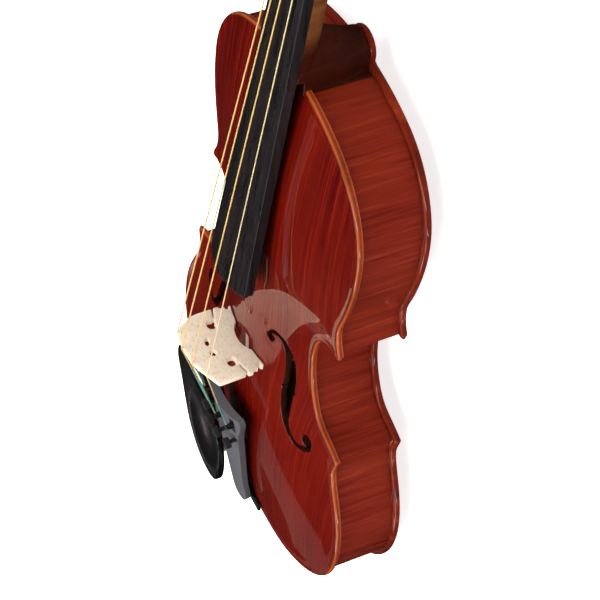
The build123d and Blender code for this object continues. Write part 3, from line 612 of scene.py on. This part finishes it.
# ---------------------------------------------------------------- front and back plates
BEAD = 2.0
RIB_GAP = 0.02        # between a plate and the ribs
THINNEST = 0.06
HOLLOW = 1.08         # rise of the inner arch over the outer one
PLATE_STEP = 1.1      # between points along the edge
GRID_CLEAR = 12.0     # the even grid starts this far inside the edge
OVERHANG = 3.0        # of a plate past the ribs, as far as its varnish goes
EDGE_SPAN = 30        # depth at which the edge attribute reaches 1
DEPTHS = [0.05, 0.22, 0.5, 0.88, 1.35, 1.95, 2.7, 3.5, 4.4, 5.4, 6.7, 8.4, 10.6]


def bead(d):
    """Rounded edge and the shallow channel inside it, as a drop from the plate's flat edge."""
    channel = 0.5 * smooth((d - 1.6) / 2.6) * (1 - smooth((d - 5.0) / 7.0))
    return rounding(d, BEAD) + channel


def sound_hole_loop(side):
    middle = spline(SOUND_HOLE, 0.6)
    centre, half = middle[:, :2], middle[:, 2]
    heading = np.gradient(centre, axis=0)
    heading /= np.sqrt((heading**2).sum(1))[:, None]
    normal = np.c_[-heading[:, 1], heading[:, 0]]
    stem = np.vstack([centre + normal * half[:, None], (centre - normal * half[:, None])[::-1]])
    parts = [stem]
    for x, y, radius in (UPPER_EYE, LOWER_EYE):
        turn = np.linspace(0, 2 * pi, 40, endpoint=False)
        parts.append(np.c_[x + radius * np.cos(turn), y + radius * np.sin(turn)])
    for x, y in SOUND_HOLE_NICKS:
        parts.append(np.array([(x - 1.4, y), (x, y - 0.9), (x + 1.4, y), (x, y + 0.9)]))
    points, edges = [], []
    for part in parts:
        first = len(points)
        points += [Vector(p) for p in part]
        edges += [(first + i, first + (i + 1) % len(part)) for i in range(len(part))]
    result = delaunay_2d_cdt(points, edges, [], 0, 0.001)
    verts = np.array([tuple(v) for v in result[0]])
    tris = np.array(result[2])
    middle = verts[tris].mean(1)
    good = np.zeros(len(tris), bool)
    for part in parts:
        good |= inside(part, middle)
    follow = dict(border_edges(tris[good]))
    start = next(iter(follow))
    loop, at = [start], follow[start]
    while at != start:
        loop.append(at)
        at = follow[at]
    loop = anticlockwise(verts[loop])
    if side < 0:
        loop = (loop * (-1, 1))[::-1]
    tight = [loop[0]]
    for p in loop[1:]:
        if hypot(*(p - tight[-1])) > 0.15:
            tight.append(p)
    return np.array(tight)


outline = body_outline(PLATE_STEP)
holes = [sound_hole_loop(1), sound_hole_loop(-1)]
rings = [ring(outline, d) for d in DEPTHS]
around = [ring(hole, d) for hole in holes for d in (-0.3, -0.9)]
flat = triangulate(outline, holes, rings + around, grid(outline, 3.2, GRID_CLEAR, holes))
xy = flat[0]
depth = distance_to(outline, xy)
hole_gap = np.minimum(distance_to(holes[0], xy), distance_to(holes[1], xy))
arch = crown(xy[:, 0], xy[:, 1])
lip = 0.35 * (1 - smooth(hole_gap / 0.5))
top = FRONT_ARCH * arch - bead(depth) - lip
hollow = FRONT_ARCH * HOLLOW * arch - 0.3 * smooth((depth - 4.2) / 2)
under = (-EDGE + RIB_GAP + np.minimum(hollow, FRONT_ARCH * arch + 1.0) * smooth((depth - 3) / 3)
         + rounding(depth, BEAD) * 0.96)
under = np.minimum(under, top - THINNEST)
# The sound-hole walls get the near-black painted shade; the outer walls turn to varnish below.
front = slab("front", flat, top, under, [FRONT, SHADED_CUT, INNER],
             {"edge": np.minimum(depth, EDGE_SPAN) / EDGE_SPAN})


def varnish_overhang(piece, loop, material_index):
    """The varnish goes round the plate's edge and under its overhang, up to the ribs."""
    centres = np.array([p.center[:2] for p in piece.data.polygons]) * 1000 + (0, MIDDLE_Y)
    for polygon, gap in zip(piece.data.polygons, distance_to(loop, centres)):
        if gap < OVERHANG:
            polygon.material_index = material_index


# Under the overhang the front's varnish carries its orange edge band, which is partly a painted
# highlight.
varnish_overhang(front, outline, 0)
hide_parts("top_plate")
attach(front, "violin")


def back_outline():
    """Body outline with the round button under the neck's heel."""
    loop = body_outline(PLATE_STEP)
    turn = np.linspace(0, 2 * pi, 60, endpoint=False)
    button = np.c_[BUTTON * np.cos(turn), BUTTON_Y + BUTTON * np.sin(turn)]
    button = button[~inside(loop, button)]
    order = np.argsort(np.arctan2(button[:, 1] - BODY_LENGTH + 4, button[:, 0]))
    button = button[order]
    under_button = np.hypot(loop[:, 0], loop[:, 1] - BUTTON_Y) < BUTTON
    first = int(np.argmax(under_button & ~np.roll(under_button, 1)))
    loop = np.roll(loop, -first, axis=0)
    under_button = np.roll(under_button, -first)
    rest = loop[~under_button]
    return np.vstack([button, rest])


back_loop = back_outline()
rings = [ring(back_loop, d) for d in DEPTHS]
flat = triangulate(back_loop, [], rings, grid(back_loop, 3.4, GRID_CLEAR))
xy = flat[0]
depth = distance_to(back_loop, xy)
arch = crown(xy[:, 0], np.minimum(xy[:, 1], BODY_LENGTH))
low = BACK_FACE - BACK_ARCH * arch + bead(depth)
high = (BACK_FACE + EDGE - RIB_GAP - rounding(depth, BEAD) * 0.96
        - BACK_ARCH * HOLLOW * arch * smooth((depth - 3) / 3))
high = np.maximum(high, low + THINNEST)
back = slab("back", flat, high, low, [INNER, BACK, BACK],
            {"edge": np.minimum(depth, EDGE_SPAN) / EDGE_SPAN})
varnish_overhang(back, back_loop, 1)
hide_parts("back_plate")
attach(back, "violin")

# ---------------------------------------------------------------- bridge
BRIDGE_X = [-16.9, -6.1, 5.9, 16.7]
BRIDGE_Z = [45.2, 47.1, 46.3, 42.2]
STRING_RADII = [0.42, 0.40, 0.38, 0.32]
FOOT = 9.6
BRIDGE_HEIGHT = 38


def bridge_outline():
    seats = [(x, z - r - 0.08) for x, z, r in zip(BRIDGE_X, BRIDGE_Z, STRING_RADII)]
    side = [(22.0, FOOT + 0.3), (22.5, FOOT + 1.4), (21.7, FOOT + 2.6), (20.4, FOOT + 3.4),
            (21.0, FOOT + 4.4), (22.8, FOOT + 4.9), (22.6, FOOT + 6.2), (22.9, FOOT + 7.4),
            (24.2, FOOT + 8.2), (24.3, FOOT + 10.6), (23.4, FOOT + 11.2), (17.6, FOOT + 13.0),
            (17.8, FOOT + 13.6), (23.6, FOOT + 12.2), (24.2, FOOT + 13.0)]
    right = side + [(24.6, 31.0), (25.0, 36.6), (24.6, 38.2)]
    left = mirrored(side + [(24.2, 30.0), (24.0, 33.4), (23.6, 35.2)])[::-1]
    crown_run = spline([right[-1]] + seats[::-1] + [left[0]], 0.8)
    under = spline([(-11.4, FOOT + 0.6), (-9.8, FOOT + 3.4), (-5.8, FOOT + 5.9), (0, FOOT + 6.9),
                    (5.8, FOOT + 5.9), (9.8, FOOT + 3.4), (11.4, FOOT + 0.6)], 0.6)
    return join_runs(np.array(right), crown_run, np.array(left), line(left[-1], under[0], 0.8),
                     under, line(under[-1], right[0], 0.8))


def turned_oval(x, z, wide, high, angle):
    points, count = [], 26
    for k in range(count):
        t = 2 * pi * k / count
        a, b = wide * cos(t), high * sin(t)
        points.append((x + a * cos(angle) - b * sin(angle), z + a * sin(angle) + b * cos(angle)))
    return points


def bridge_holes():
    kidney = spline([(10.8, 26.0), (12.4, 28.3), (15.2, 28.4), (16.9, 26.6), (16.6, 24.6),
                     (17.2, 23.2), (16.2, 22.6), (14.9, 23.6), (13.0, 23.4), (11.4, 24.0)],
                    0.5, closed=True)
    heart_left = np.array(turned_oval(-3.9, 32.9, 2.6, 1.35, 0.35))
    heart_right = np.array(turned_oval(4.1, 32.9, 2.2, 1.8, -0.3))
    return [heart_left, heart_right, kidney, (kidney * (-1, 1))[::-1]]


def bridge_solid():
    outer = anticlockwise(bridge_outline())
    cut = [anticlockwise(hole) for hole in bridge_holes()]
    near = [ring(outer, 0.35)] + [ring(hole, -0.3) for hole in cut]
    pts, tris = triangulate(outer, cut, near, grid(outer, 1.6, 0.9, cut, 0.8))
    rim = distance_to(outer, pts)
    for hole in cut:
        rim = np.minimum(rim, distance_to(hole, pts))
    z = pts[:, 1].copy()
    ground = FRONT_ARCH * crown(pts[:, 0], np.full(len(pts), STOP)) + 0.03
    on_foot = z < FOOT + 3
    lift = np.where(on_foot, (ground - FOOT) * (1 - smooth((z - FOOT) / 3.4)), 0)
    z = np.maximum(z + lift, np.where(on_foot, ground, z))
    share = (z - FOOT) / BRIDGE_HEIGHT
    half_back = 2.2 - 1.45 * share - 0.3 * (1 - smooth(rim / 0.36))
    half_front = half_back + 0.35 * np.sin(np.clip(share, 0, 1) * pi)
    n = len(pts)
    verts = [place(x, STOP + f, h) for (x, _), f, h in zip(pts, half_front, z)]
    verts += [place(x, STOP - b, h) for (x, _), b, h in zip(pts, half_back, z)]
    walls = [(b, n + b, n + a, a) for a, b in border_edges(tris)]
    faces = [(c, b, a) for a, b, c in tris] + [(n + a, n + b, n + c) for a, b, c in tris] + walls
    piece = new_object("bridge_piece", verts, faces, [BRIDGE])
    clean(piece)
    piece.data.set_sharp_from_angle(angle=radians(40))
    return piece


bridge = bridge_solid()
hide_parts("bridge")
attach(bridge, "violin")

# ---------------------------------------------------------------- neck, peg box and scroll
def loft_into(verts, faces, sections):
    """Closed skin over sections that have the same number of points (mm)."""
    first = len(verts)
    count = len(sections[0])
    for section in sections:
        verts += [place(*p) for p in section]
    faces += tube_faces(first, len(sections), count)


TENON_Y = (349.2, 351.0, 352.4)    # end of the tenon, start of the heel, end of their overlap


def heel_sections():
    """Level slices of the heel, from the round button up to the board."""
    keys = [(-36.5, BUTTON, 368.3), (-33, 11.3, 368.6), (-27, 12.6, 370.2), (-18, 14.3, 374.5),
            (-9, 15.4, 381.0), (-3, 15.8, 387.5), (1.0, 15.9, 394.0)]
    out = []
    for z, half, nose in spline(keys, 1.5):
        reach = nose - BUTTON_Y
        section = [(-half, TENON_Y[1], z)]
        for t in np.linspace(0, pi, 40):
            section.append((-half * cos(t), BUTTON_Y + reach * sin(t) ** 0.95, z))
        section.append((half, TENON_Y[1], z))
        out.append(section)
    return out


def shaft_sections():
    """Slices across the shaft, from inside the heel to the nut."""
    out = []
    for y in np.linspace(360, 487.5, 40):
        half = board_half(y) - 0.1
        roof = board_underside(y) - 0.05
        deep = 13.6 - 3.2 * smooth((y - 385) / 80) + 0.4 * smooth((y - 478) / 10)
        section = [(half, y, roof)]
        for t in np.linspace(0, pi, 30):
            section.append((half * cos(t), y, roof - 1.2 - (deep - 1.2) * sin(t) ** 0.8))
        section.append((-half, y, roof))
        out.append(section)
    return out


def box_sections():
    """Slices across the peg box: a floor and two cheeks, open towards the strings."""
    keys = np.array([(-6, 12.1, -8.2, -21.5, -8.6, 7.6), (1, 12.8, -7.4, -28.0, -8.0, 7.6),
                     (5.8, 12.7, -7.8, -30.0, -8.4, 7.6), (6.2, 12.7, -7.8, -30.2, -24.5, 7.6),
                     (20, 12.2, -9.4, -34.0, -27.0, 7.0), (40, 11.2, -11.6, -37.6, -30.6, 6.2),
                     (60, 9.5, -12.6, -39.4, -33.6, 5.4), (62.6, 9.2, -12.8, -39.6, -34.0, 5.2),
                     (63.0, 9.2, -12.8, -39.6, -13.4, 5.2), (72, 7.2, -11.0, -39.9, -11.6, 4.6)])
    out = []
    for s, half, front, back, floor, inner in keys:
        ease = 2.6
        section = [(inner, front), (half - 0.8, front), (half, front - 0.8)]
        for t in np.linspace(0, pi / 2, 6):
            section.append((half - ease + ease * cos(t), back + ease - ease * sin(t)))
        for t in np.linspace(pi / 2, pi, 6):
            section.append((-half + ease + ease * cos(t), back + ease - ease * sin(t)))
        section += [(-half, front - 0.8), (-half + 0.8, front), (-inner, front), (-inner, floor),
                    (inner, floor)]
        out.append([neck_point(x, s, h) for x, h in section])
    return out


SCROLL_S, SCROLL_H = 81.5, -19.6


def scroll_sections():
    """Slices of the volute's ribbon, which winds in to its eye and widens on the way."""
    turns, start, shrink = 2.3, 20.4, -1.62
    out = []
    for t in np.linspace(0, 1, 170):
        angle = -pi / 2 - 0.42 + t * turns * 2 * pi
        radius = start * exp(shrink * t) + 0.3
        inner = max(start * exp(shrink * (t + 1 / turns)) - 0.5, 0.2) if t < 0.95 else 0.2
        half = 6.4 + 13.2 * t**0.8
        section = []
        for k in range(25):
            share = -1 + 2 * k / 24
            flute = 1.7 * (1 - 0.6 * t) * abs(sin(pi * share)) ** 1.2
            corner = 0.7 * max(abs(share) - 0.9, 0) * 10
            section.append((half * share, radius - flute - corner))
        section += [(half, inner), (-half, inner)]
        out.append([neck_point(x, SCROLL_S + r * cos(angle), SCROLL_H + r * sin(angle))
                    for x, r in section])
    return out


def eye_sections():
    out = []
    for x, r in ((-20.6, 2.6), (-20.4, 3.4), (-19.6, 4.1), (19.6, 4.1), (20.4, 3.4), (20.6, 2.6)):
        out.append([neck_point(x, SCROLL_S + r * cos(t), SCROLL_H + r * sin(t))
                    for t in np.linspace(0, 2 * pi, 32, endpoint=False)])
    return out


def neck_piece():
    verts, faces = [], []
    foot = [[(15.9, y, -4.2), (15.9, y, -36.3), (-15.9, y, -36.3), (-15.9, y, -4.2)]
            for y in (TENON_Y[0], TENON_Y[2])]
    for sections in (foot, heel_sections(), shaft_sections(), box_sections(), scroll_sections(),
                     eye_sections()):
        loft_into(verts, faces, sections)
    rough = new_object("neck_rough", verts, faces, [NECK])
    remesh = rough.modifiers.new("remesh", "REMESH")
    remesh.mode = "VOXEL"
    remesh.voxel_size = 0.00055
    remesh.use_smooth_shade = True
    relax = rough.modifiers.new("relax", "SMOOTH")
    relax.factor = 0.5
    relax.iterations = 5
    depsgraph = bpy.context.evaluated_depsgraph_get()
    mesh = bpy.data.meshes.new_from_object(rough.evaluated_get(depsgraph))
    mesh.name = "neck_piece"
    mesh.materials.clear()
    mesh.materials.append(NECK)
    mesh.polygons.foreach_set("use_smooth", [True] * len(mesh.polygons))
    piece = bpy.data.objects.new("neck_piece", mesh)
    bpy.context.scene.collection.objects.link(piece)
    bpy.data.objects.remove(rough)
    return piece


neck = neck_piece()
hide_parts("neck_and_scroll")
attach(neck, "violin")

# ---------------------------------------------------------------- fingerboard
def board_profile(y):
    """Section of the board: crowned top, eased corners, and a scooped underside where it hangs."""
    half = board_half(y)
    crest = board_crest(y)
    under = board_underside(y)
    ease = 0.55
    top = []
    for k in range(33):
        x = -half + ease + (2 * half - 2 * ease) * k / 32
        top.append((x, crest - (BOARD_RADIUS - sqrt(BOARD_RADIUS**2 - x**2))))
    edge_z = top[0][1]
    corner = [(ease * (1 - cos(t)), edge_z - ease * (1 - sin(t)) - 0.05)
              for t in np.linspace(0, pi / 2, 5)]
    left = [(-half + dx, z) for dx, z in corner[:-1]]
    right = [(-x, z) for x, z in left[::-1]]
    scoop = 2.8 * smooth((392 - y) / 14)
    rim = half - 5.0
    hollow = [(rim * (1 - 2 * k / 16), under + scoop * (1 - (1 - 2 * k / 16) ** 2))
              for k in range(17)]
    return left + top + right + [(half, under)] + hollow + [(-half, under)]


def board_piece():
    spans = [BOARD_END, BOARD_END + 0.3, BOARD_END + 0.8] + list(np.linspace(222, 484, 54))
    spans += [NUT_Y - 0.5, NUT_Y]
    verts, faces = [], []
    count = len(board_profile(300))
    for k, y in enumerate(spans):
        shrink = {0: 0.985, 1: 0.996}.get(k, 1.0)
        for x, z in board_profile(float(y)):
            verts.append(place(x * shrink, float(y), z - (1 - shrink) * 12))
    for i in range(len(spans) - 1):
        for k in range(count):
            a, b = i * count + k, i * count + (k + 1) % count
            faces.append((a, a + count, b + count, b))
    faces.append(tuple(range(count)))
    last = (len(spans) - 1) * count
    faces.append(tuple(range(last, last + count))[::-1])
    piece = new_object("fingerboard_piece", verts, faces, [BOARD])
    piece.data.set_sharp_from_angle(angle=radians(35))
    return piece


board = board_piece()
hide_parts("fingerboard")
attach(board, "violin")

# ---------------------------------------------------------------- tubes, for strings and silk
def tube(name, path, radii, mat, sides=12):
    """Solid round tube along points, with a radius at each."""
    pts = [Vector(p) for p in path]
    verts = []
    up = Vector((0, 0, 1))
    for i, p in enumerate(pts):
        ahead = (pts[min(i + 1, len(pts) - 1)] - pts[max(i - 1, 0)]).normalized()
        side = ahead.cross(up).normalized()
        top_dir = side.cross(ahead).normalized()
        for k in range(sides):
            t = 2 * pi * k / sides
            offset = side * cos(t) + top_dir * sin(t)
            verts.append(place(*(p + offset * radii[i])))
    return new_object(name, verts, tube_faces(0, len(pts), sides), [mat])


def rounded_route(route, radius):
    """Points along straight runs whose corners are rounded."""
    route = [Vector(p) for p in route]
    out = [route[0]]
    for before, corner, after in zip(route, route[1:], route[2:]):
        a = (before - corner).normalized()
        b = (after - corner).normalized()
        reach = min(radius * 0.6, (before - corner).length * 0.45, (after - corner).length * 0.45)
        start, end = corner + a * reach, corner + b * reach
        for k in range(7):
            t = k / 6
            out.append(start * (1 - t) ** 2 + corner * 2 * t * (1 - t) + end * t * t)
    out.append(route[-1])
    return out


TAIL_TOP = (106.0, 27.4)
TAIL_SLOPE = 0.19
TAIL_RADIUS = 44.0
TAIL_X = [-15.0, -5.0, 5.0, 15.0]
NUT_X = [-8.25, -2.75, 2.75, 8.25]
slant = hypot(1, TAIL_SLOPE)


def tail_sag(x):
    return TAIL_RADIUS - sqrt(TAIL_RADIUS**2 - x**2)


def tail_point(x, v, h):
    return (x, TAIL_TOP[0] + (v - h * TAIL_SLOPE) / slant,
            TAIL_TOP[1] + (v * TAIL_SLOPE + h) / slant)


PEG_STATIONS = {"g": 14.0, "d": 42.0, "a": 55.5, "e": 28.0}
WINDING_X = {"g": -3.5, "e": 3.0, "d": -1.5, "a": 1.0}
WINDING_RADIUS = 4.8


def box_axis(s):
    return -17.0 - 0.19 * s


silks = {"g": GREEN, "d": TEAL, "a": GREEN, "e": TEAL}
for i, name in enumerate("gdae"):
    r = STRING_RADII[i]
    nut_height = 0.35 - NUT_X[i] ** 2 / 67.2 + r + 0.12
    s = PEG_STATIONS[name]
    hook = tail_point(TAIL_X[i], -5.8, 3.4 - tail_sag(TAIL_X[i]))
    route = [hook, (BRIDGE_X[i], STOP, BRIDGE_Z[i]), neck_point(NUT_X[i], 0.3, nut_height),
             neck_point(NUT_X[i], 5.3, nut_height),
             neck_point(WINDING_X[name], s - 1.5, box_axis(s) + WINDING_RADIUS + r + 0.15)]
    path = rounded_route(route, 2.5)
    string = tube(f"string_{name}_wire", path, [r] * len(path), PALE if name == "e" else GOLD, 14)
    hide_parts(f"string_{name}")
    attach(string, "violin")
    a, b = Vector(route[0]), Vector(route[1])
    length = (b - a).length
    share = {"g": 0.74, "d": 0.62, "a": 0.66, "e": 0.45}[name]
    run = [a.lerp(b, t) for t in np.linspace(0.02, share, 24)]
    wrap = tube(f"silk_{name}_tail", run, [r * 1.28] * 23 + [r * 1.02], silks[name], 14)
    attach(wrap, "violin")
    a, b = Vector(route[3]), Vector(route[4])
    run = [a.lerp(b, t) for t in np.linspace(0.3, 0.97, 12)]
    wrap = tube(f"silk_{name}_head", run, [r * 1.02] + [r * 1.28] * 11, silks[name], 14)
    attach(wrap, "violin")

# ---------------------------------------------------------------- chin rest
CHIN_PLAN = [
    (-16.5, 16), (-15.5, 2), (-19, -10), (-30, -16), (-47, -17), (-63, -10), (-75, 4),
    (-86, 21), (-92, 33), (-88, 43), (-76, 44), (-60, 41), (-45, 39), (-31, 35), (-21, 27),
]
CHIN_BOWL = (-48, 15)
CHIN_RADIUS = 95      # of the bowl's hollow


def chin_rest_piece():
    loop = anticlockwise(spline(CHIN_PLAN, 1.0, closed=True))
    depths = [0.04, 0.25, 0.6, 1.1, 1.7, 2.4, 3.3, 4.5]
    flat = triangulate(loop, [], [ring(loop, d) for d in depths], grid(loop, 2.4, 5.5))
    pts = flat[0]
    d = distance_to(loop, pts)
    across = pts[:, 0] - CHIN_BOWL[0]
    rim = 12.3 + 0.07 * across
    bowl = np.hypot(across, pts[:, 1] - CHIN_BOWL[1])
    cup = 9 + CHIN_RADIUS - np.sqrt(CHIN_RADIUS**2 - np.minimum(bowl, 90) ** 2)
    roll = rounding(d, 1.6)
    upper = np.minimum(rim, cup) - roll
    lower = 6.5 + 2.6 * (1 - smooth(d / 9)) + roll
    lower = np.minimum(lower, upper - 0.05)
    return slab("chin_rest_dish", flat, upper, lower, [CHIN, CHIN, CHIN], {}, sharp=60)


chin = chin_rest_piece()
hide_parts("chin_rest")
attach(chin, "violin")

# ---------------------------------------------------------------- fine-tuner screws
KNURL = 0.22


def knurled(name, x):
    """Screw with a knurled, domed head."""
    axis_up = Vector((0, -TAIL_SLOPE / slant, 1 / slant))
    right = Vector((1, 0, 0))
    ahead = axis_up.cross(right)
    base = Vector(tail_point(x, -25.0, -tail_sag(x)))
    profile = [(-5.5, 0.4, 0), (-4.3, 1.3, 0), (3.55, 1.3, 0), (3.6, 2.9, 0), (3.9, 3.3, 1),
               (4.2, 3.4, 1), (6.6, 3.4, 1), (6.9, 3.25, 1), (7.1, 2.8, 0), (7.2, 1.2, 0)]
    sides = 72
    verts = []
    for h, radius, cut in profile:
        for k in range(sides):
            t = 2 * pi * k / sides
            reach = radius - (KNURL if cut and k % 3 == 0 else 0)
            verts.append(place(*(base + axis_up * h + (right * cos(t) + ahead * sin(t)) * reach)))
    piece = new_object(name, verts, tube_faces(0, len(profile), sides), [KNOBS])
    piece.data.set_sharp_from_angle(angle=radians(30))
    return piece


for x, name in zip(TAIL_X, "gdae"):
    screw = knurled(f"tuner_knob_{name}", x)
    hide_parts(f"tuner_screw_{name}")
    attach(screw, f"tuner_screw_{name}")

# ---------------------------------------------------------------- CAD nodes that stay
CAD_MATERIALS = {
    RIBS: ["corner_block_lower_treble", "corner_block_lower_bass", "corner_block_upper_treble",
           "corner_block_upper_bass", "rib_lower", "rib_waist_treble", "rib_waist_bass",
           "rib_upper_treble", "rib_upper_bass"],
    INNER: ["end_block", "neck_block", "linings_top", "linings_back", "bass_bar", "sound_post"],
    EBONY: ["nut", "saddle", "end_button"],
    TAIL: ["tailpiece"],
    PEGS: ["peg_g", "peg_d", "peg_a", "peg_e"],
    TUNER: ["tuner_lever_g", "tuner_lever_d", "tuner_lever_a", "tuner_lever_e", "tuner_pins"],
    GUT: ["tailgut"],
    GOLD: ["winding_g", "winding_d", "winding_a"],
    PALE: ["winding_e"],
    CORK: ["chin_rest_cork", "clamp_foot_cork"],
    CHROME: ["clamp_posts", "clamp_barrel_1", "clamp_barrel_2", "clamp_foot"],
}
BEVELS = {"tailpiece": 0.0008, "nut": 0.0004, "end_button": 0.0004, "clamp_foot": 0.0004}
for mat, names in CAD_MATERIALS.items():
    for name in names:
        node = nodes[name]
        for material_slot in node.material_slots:
            material_slot.material = mat
        if not node.material_slots:
            node.data.materials.append(mat)
        if name in BEVELS:
            bevel = node.modifiers.new("soft_edges", "BEVEL")
            bevel.width = BEVELS[name]
            bevel.segments = 3
            bevel.limit_method = "ANGLE"
            bevel.angle_limit = radians(40)
            bevel.harden_normals = False

# ---------------------------------------------------------------- floor, light and camera
def glowing_white(name, scale, detail, rough, glow):
    m = Nodes(name)
    m.colour(m.grey(m.noise((scale, scale, scale), detail=detail), (0.4, 0.86), (0.6, 0.88)))
    m.set(Roughness=rough, Emission_Color=(1, 1, 1, 1), Emission_Strength=glow)
    return m.mat


def floor_piece():
    size = 8.5
    floor = new_object("floor", [(-size, -size, -0.0005), (size, -size, -0.0005),
                                 (size, size, -0.0005), (-size, size, -0.0005)],
                       [(0, 1, 2, 3)], [glowing_white("floor_white", 3, 2, 0.8, 0.8)])
    floor.visible_glossy = False


def backdrop_piece():
    """Pale round wall beyond the lights, so that low views end in white too."""
    sides, radius = 96, 8.0
    verts = []
    for height, reach in ((-0.001, 1.0), (4.0, 1.0), (8.0, 0.8)):
        for k in range(sides):
            t = 2 * pi * k / sides
            verts.append((radius * reach * cos(t), radius * reach * sin(t), height))
    faces = []
    for level in (0, sides):
        for k in range(sides):
            faces.append((level + k, level + (k + 1) % sides, level + sides + (k + 1) % sides,
                          level + sides + k))
    wall = new_object("backdrop", verts, faces, [glowing_white("backdrop_white", 1, 1, 0.9, 1.0)])
    wall.visible_glossy = False
    wall.visible_diffuse = False
    wall.visible_shadow = False


floor_piece()
backdrop_piece()


def softbox(name, spot, target, size, power, colour):
    data = bpy.data.lights.new(name, "AREA")
    data.shape = "RECTANGLE"
    data.size, data.size_y = size
    data.energy = power
    data.color = colour
    lamp = bpy.data.objects.new(name, data)
    lamp.location = spot
    lamp.rotation_euler = (Vector(target) - Vector(spot)).to_track_quat("-Z", "Y").to_euler()
    bpy.context.scene.collection.objects.link(lamp)
    return lamp


# Name, place, target, size, power, colour, and whether the varnish mirrors it. The wide ones
# light everything evenly and aren't seen in the varnish; the small ones are.
WHITE = (1, 1, 1)
WARM = (1, 0.97, 0.95)
LAMPS = [
    ("fill_overhead", (0.1, 0.1, 2.6), (0, 0, 0), (4.5, 4.5), 230, WHITE, False),
    ("fill_front", (-0.3, 2.1, 1.5), (0, 0, 0.05), (1.6, 1.6), 11, WHITE, False),
    ("fill_side", (1.7, -1.9, 0.7), (0, 0, 0.03), (0.9, 0.9), 4, WHITE, False),
    ("corner_patch", (-0.97, -1.63, 0.72), (0.07, -0.06, 0.05), (0.11, 0.09), 0.05,
     (1, 0.80, 0.70), True),
    ("tail_haze", (-1.1, -2.4, 0.80), (0.05, -0.2, 0.05), (0.9, 0.5), 0.17, (1, 0.86, 0.80), True),
    ("overhead_strip", (0.9, 0.0, 1.7), (0, 0, 0.03), (0.2, 2.4), 11, WARM, True),
    ("edge_strip", (0.85, -0.95, 1.4), (0, 0, 0.06), (0.13, 1.7), 4.5, (1, 0.97, 0.94), True),
    ("ridge_light", (0.75, -1.75, 1.2), (0, 0, 0.06), (0.35, 0.3), 2.0, (0.96, 0.96, 1), True),
    ("treble_strip", (1.9, -0.9, 0.6), (0, 0, 0.02), (0.10, 1.1), 3, WHITE, True),
]
for *lamp_settings, mirrored_in_varnish in LAMPS:
    softbox(*lamp_settings).visible_glossy = mirrored_in_varnish

world = bpy.data.worlds.new("studio")
bpy.context.scene.world = world
world.use_nodes = True
background = world.node_tree.nodes["Background"]
background.inputs["Color"].default_value = (1, 1, 1, 1)
background.inputs["Strength"].default_value = 0.012
bpy.context.scene.view_settings.view_transform = "Standard"

camera_data = bpy.data.cameras.new("camera")
camera = bpy.data.objects.new("camera", camera_data)
bpy.context.scene.collection.objects.link(camera)
camera_data.sensor_width = 36
camera_data.lens = 115.05
right = Vector((0.4305, 0.0774, -0.8997))
ahead = Vector((-0.547, -0.770, -0.328)).normalized()
right = (right - ahead * right.dot(ahead)).normalized()
up = right.cross(ahead)
turn = Matrix((right, up, -ahead)).transposed()
camera.matrix_world = Matrix.Translation(place(576.8, 984.7, 325.4)) @ turn.to_4x4()
camera_data.clip_start = 0.01
bpy.context.scene.camera = camera
